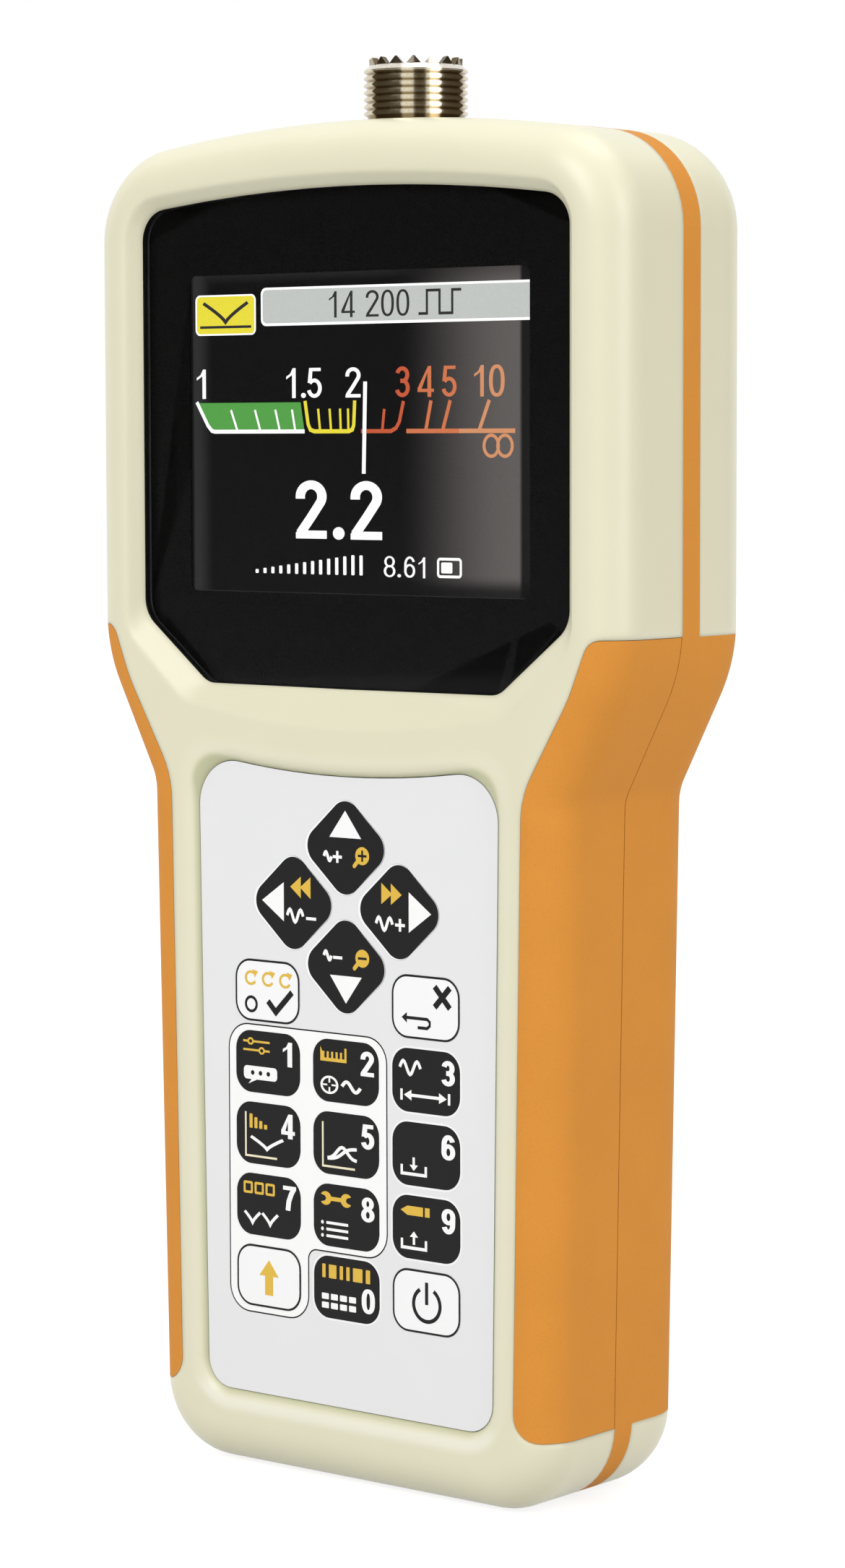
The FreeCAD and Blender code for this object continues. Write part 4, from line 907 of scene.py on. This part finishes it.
TAB = (-32.15, -19.77, 15.03, 21.22)
TAB_FIELD = (TAB[0] + 0.3, TAB[1] - 0.3, TAB[2] + 0.25, TAB[3] - 0.25)
BAR = (-18.72, 33.15, 16.3, 22.1)
BAR_FIELD = (BAR[0] + 0.35, BAR[1], BAR[2] + 0.4, BAR[3] - 0.35)
BASE_Z, NUMERAL_Z = 0.3, 7.6             # middle of the scale's base line and of its numerals
FOOT_Z, MARK_TOP = 0.42, 3.6             # ends of the scale's short marks
SQUARE_WAVE = [(12.3, 17.6), (13.9, 17.6), (13.9, 21.0), (16.3, 21.0), (16.3, 17.6), (18.7, 17.6),
               (18.7, 21.0), (20.4, 21.0)]
BAR_HEIGHTS = (0.6, 0.8, 1.0, 1.2, 1.4, 1.6, 1.8, 2.0, 2.2, 2.4, 2.6, 2.8, 3.0, 3.0)

show("screen_edge", lines([((-31.9, -24.2), (32.2, -24.2))], 0.22), "lit_dark")
show("screen_tab", [[box_loop(*TAB, 0.9)]], "lit_white")
show("screen_tab_field", [[box_loop(*TAB_FIELD, 0.7)]], "lit_yellow", 2)
show("screen_tab_symbol", fitted(dip_curve(-3.6, 3.6, 3.0), -30.7, -21.2, 16.6, 20.2) +
     lines([((-31.2, 16.3), (-20.7, 16.3))], 0.4), "lit_dark", 3)
show("screen_bar", [[half_open(*BAR, 1.0)]], "lit_white")
show("screen_bar_field", [[half_open(*BAR_FIELD, 0.8)]], "lit_grey", 2)
show("screen_bar_numerals",
     numerals((("1", -4.2), ("4", -1.1), ("2", 3.4), ("0", 6.35), ("0", 9.3)), 19.3, 2.5, 3.95, 0.1) +
     [[stroke(SQUARE_WAVE, 0.42)]], "lit_dark", 3)
show("screen_scale_white",
     numerals((("1", -30.85), ("1", -12.54)), NUMERAL_Z, 2.95, 4.5, 0.12) +
     numeral(".", -10.24, NUMERAL_Z, 2.95, 4.5, 0.14) +
     numerals((("5", -8.07), ("2", -0.42)), NUMERAL_Z, 2.95, 4.5, 0.12) +
     lines([((-23.64, FOOT_Z), (-24.95, MARK_TOP)), ((-18.97, FOOT_Z), (-20.06, MARK_TOP)),
            ((-15.04, FOOT_Z), (-15.92, MARK_TOP)), ((-11.93, FOOT_Z), (-12.56, MARK_TOP))], 0.38) +
     [[stroke([(-32.0, 4.85), (-29.7, 1.2), (-28.9, 0.42), (-28.3, BASE_Z), (-10.05, BASE_Z)], 0.6)],
      [stroke([(1.61, -6.05), (1.95, 7.7)], 0.72)]], "lit_white", 2)
show("screen_scale_green",
     [[[(-31.6, 4.7), (-29.3, 1.1), (-28.4, 0.4), (-10.1, 0.4), (-10.85, 4.7)]]], "lit_green")
show("screen_scale_yellow",
     [[stroke([(-9.95, 4.9), (-9.35, 1.4), (-8.9, 0.55), (-8.1, BASE_Z), (-1.3, BASE_Z), (-0.6, 0.55),
               (-0.33, 1.2), (-0.12, 4.9)], 0.62)]] +
     lines([((-6.97, FOOT_Z), (-7.34, 3.7)), ((-4.8, FOOT_Z), (-5.07, 3.7)),
            ((-2.88, FOOT_Z), (-3.01, 3.7)), ((-1.37, FOOT_Z), (-1.44, 3.7))], 0.42), "lit_yellow")
show("screen_scale_orange",
     numeral("3", 9.17, NUMERAL_Z, 2.85, 4.55, 0.13) +
     [[stroke([(1.1, BASE_Z), (6.9, BASE_Z), (7.9, 0.75), (8.55, 1.7), (9.35, 4.75)], 0.6)]] +
     lines([((5.24, FOOT_Z), (5.64, MARK_TOP))], 0.5), "lit_orange")
show("screen_scale_coral",
     numeral("4", 13.9, NUMERAL_Z, 2.95, 4.55, 0.12) + numeral("5", 18.05, NUMERAL_Z, 2.85, 4.55, 0.12) +
     lines([((13.62, FOOT_Z), (14.62, 4.8)), ((16.84, FOOT_Z), (18.27, 4.8))], 0.62) +
     lines([((9.9, BASE_Z), (19.9, BASE_Z))], 0.66), "lit_coral")
show("screen_scale_peach",
     numeral("1", 23.87, NUMERAL_Z, 2.85, 4.6, 0.12) + numeral("0", 27.0, NUMERAL_Z, 2.9, 4.7, 0.12) +
     lines([((23.72, FOOT_Z), (25.6, 4.8))], 0.62) + lines([((19.9, BASE_Z), (30.4, BASE_Z))], 0.66) +
     [[oval(x, -1.88, 1.62, 1.78), oval(x, -1.88, 1.08, 1.3)] for x in (25.95, 28.5)], "lit_peach")
show("screen_reading",
     numeral("2", -8.82, -11.5, 6.15, 8.8, 0.15) + numeral("2", 2.07, -11.55, 6.15, 8.8, 0.15) +
     [[oval(-3.37, -15.05, 1.15, 0.95)]], "lit_white")
show("screen_row",
     numeral("8", 6.57, -19.88, 2.25, 3.15, 0.1) + numeral(".", 8.43, -19.88, 2.25, 3.15, 0.13) +
     numeral("6", 10.45, -19.88, 2.1, 3.15, 0.1) + numeral("1", 12.9, -19.95, 2.1, 3.1, 0.1) +
     [[box_loop(x / 10, x / 10 + 0.62, -21.3, -21.3 + height, 0.15)]
      for x, height in zip(range(-201, 22, 16), BAR_HEIGHTS)] +
     [frame_ring(15.7, 20.4, -21.4, -18.4, 0.6, 0.4), [box_loop(16.5, 18.6, -20.7, -19.1, 0.2)]], "lit_white")

# ---------------------------------------------------------------- floor, backdrop and light
WORLD_LIGHT = 0.7
FLOOR_GLOW = 0.82          # the floor's own light, which only the eye and reflections see
FLOOR_SEEN = 0.36          # its colour to them, on which the shadow shows
FLOOR_BOUNCE = 0.6         # its colour for the light that it throws back on the object
FLOOR_HALF = 3.0
FLOOR_Z = -0.0002
DARK_RADIUS, DARK_HEIGHT = 2.2, 2.6      # of the dark screens
DARK_STEP = 8              # degrees per face


def seen_directly(tree):
    """1 for camera, glossy and transmission rays, else 0."""
    path = add(tree, "ShaderNodeLightPath").outputs
    seen = calc(tree, "MAXIMUM", path["Is Camera Ray"], path["Is Glossy Ray"])
    return calc(tree, "MAXIMUM", seen, path["Is Transmission Ray"])


def make_world():
    world = bpy.data.worlds.new("studio")
    bpy.context.scene.world = world
    tree = emptied(world)
    strength = spread(tree, seen_directly(tree), WORLD_LIGHT, 1.0, 0.0, 1.0)
    back = add(tree, "ShaderNodeBackground", {"Color": WHITE, "Strength": strength})
    add(tree, "ShaderNodeOutputWorld", {"Surface": back.outputs[0]})


def stand_alone(name, verts, faces, mat):
    """A mesh that isn't a piece of the object."""
    data = bpy.data.meshes.new(name)
    data.from_pydata(verts, [], faces)
    data.materials.append(mat)
    obj = bpy.data.objects.new(name, data)
    bpy.context.scene.collection.objects.link(obj)
    return obj


def make_floor():
    """White floor: it glows only to the eye, so that the object's shadow still shows on it."""
    mat = bpy.data.materials.new("floor_white")
    tree = emptied(mat)
    soft = add(tree, "ShaderNodeBsdfDiffuse", {"Color": shade(WHITE, FLOOR_SEEN)})
    glow = add(tree, "ShaderNodeEmission", {"Color": WHITE, "Strength": FLOOR_GLOW})
    both = add(tree, "ShaderNodeAddShader", {0: soft.outputs[0], 1: glow.outputs[0]})
    plain = add(tree, "ShaderNodeBsdfDiffuse", {"Color": shade(WHITE, FLOOR_BOUNCE)})
    mix = add(tree, "ShaderNodeMixShader", {0: seen_directly(tree), 1: plain.outputs[0], 2: both.outputs[0]})
    add(tree, "ShaderNodeOutputMaterial", {"Surface": mix.outputs[0]})
    s = FLOOR_HALF
    floor = stand_alone("floor", [(-s, -s, 0), (s, -s, 0), (s, s, 0), (-s, s, 0)], [(0, 1, 2, 3)], mat)
    floor.location.z = FLOOR_Z


def dark_screen(name, start, end, colour):
    """Tall dark curved screen that only reflections see; start and end are angles from -Y towards +X."""
    mat = bpy.data.materials.new(name)
    tree = emptied(mat)
    glow = add(tree, "ShaderNodeEmission", {"Color": colour})
    add(tree, "ShaderNodeOutputMaterial", {"Surface": glow.outputs[0]})
    steps = max(2, int((end - start) / DARK_STEP))
    verts = []
    for i in range(steps + 1):
        a = math.radians(start + (end - start) * i / steps)
        verts += [(DARK_RADIUS * math.sin(a), -DARK_RADIUS * math.cos(a), z) for z in (0.0, DARK_HEIGHT)]
    faces = [(2 * i, 2 * i + 2, 2 * i + 3, 2 * i + 1) for i in range(steps)]
    screen = stand_alone(name, verts, faces, mat)
    screen.visible_camera = False
    screen.visible_diffuse = False
    screen.visible_transmission = False
    screen.visible_shadow = False


def softbox(name, where, aim, size, watts, tint=(1.0, 1.0, 1.0)):
    data = bpy.data.lights.new(name, "AREA")
    data.color = tint
    data.shape = "RECTANGLE"
    data.size, data.size_y = size
    data.energy = watts
    lamp = bpy.data.objects.new(name, data)
    lamp.location = where
    lamp.rotation_euler = (Vector(aim) - Vector(where)).to_track_quat("-Z", "Y").to_euler()
    bpy.context.scene.collection.objects.link(lamp)


make_world()
make_floor()
dark_screen("dark_screen_left", -74, 6, srgb(74, 64, 50))
dark_screen("dark_screen_front", 34, 62, srgb(84, 74, 58))
dark_screen("dark_screen_right", 91, 168, srgb(78, 68, 54))
softbox("key_light", (-0.15, -1.45, 1.05), (0, 0, 0.12), (0.8, 0.9), 11.8)
softbox("fill_light", (1.5, -0.15, 0.6), (0, 0, 0.11), (0.7, 1.1), 6.3)
softbox("top_light", (0.1, 0.2, 1.5), (0, 0, 0.1), (0.8, 0.8), 4.4, tint=(0.92, 0.95, 1.0))
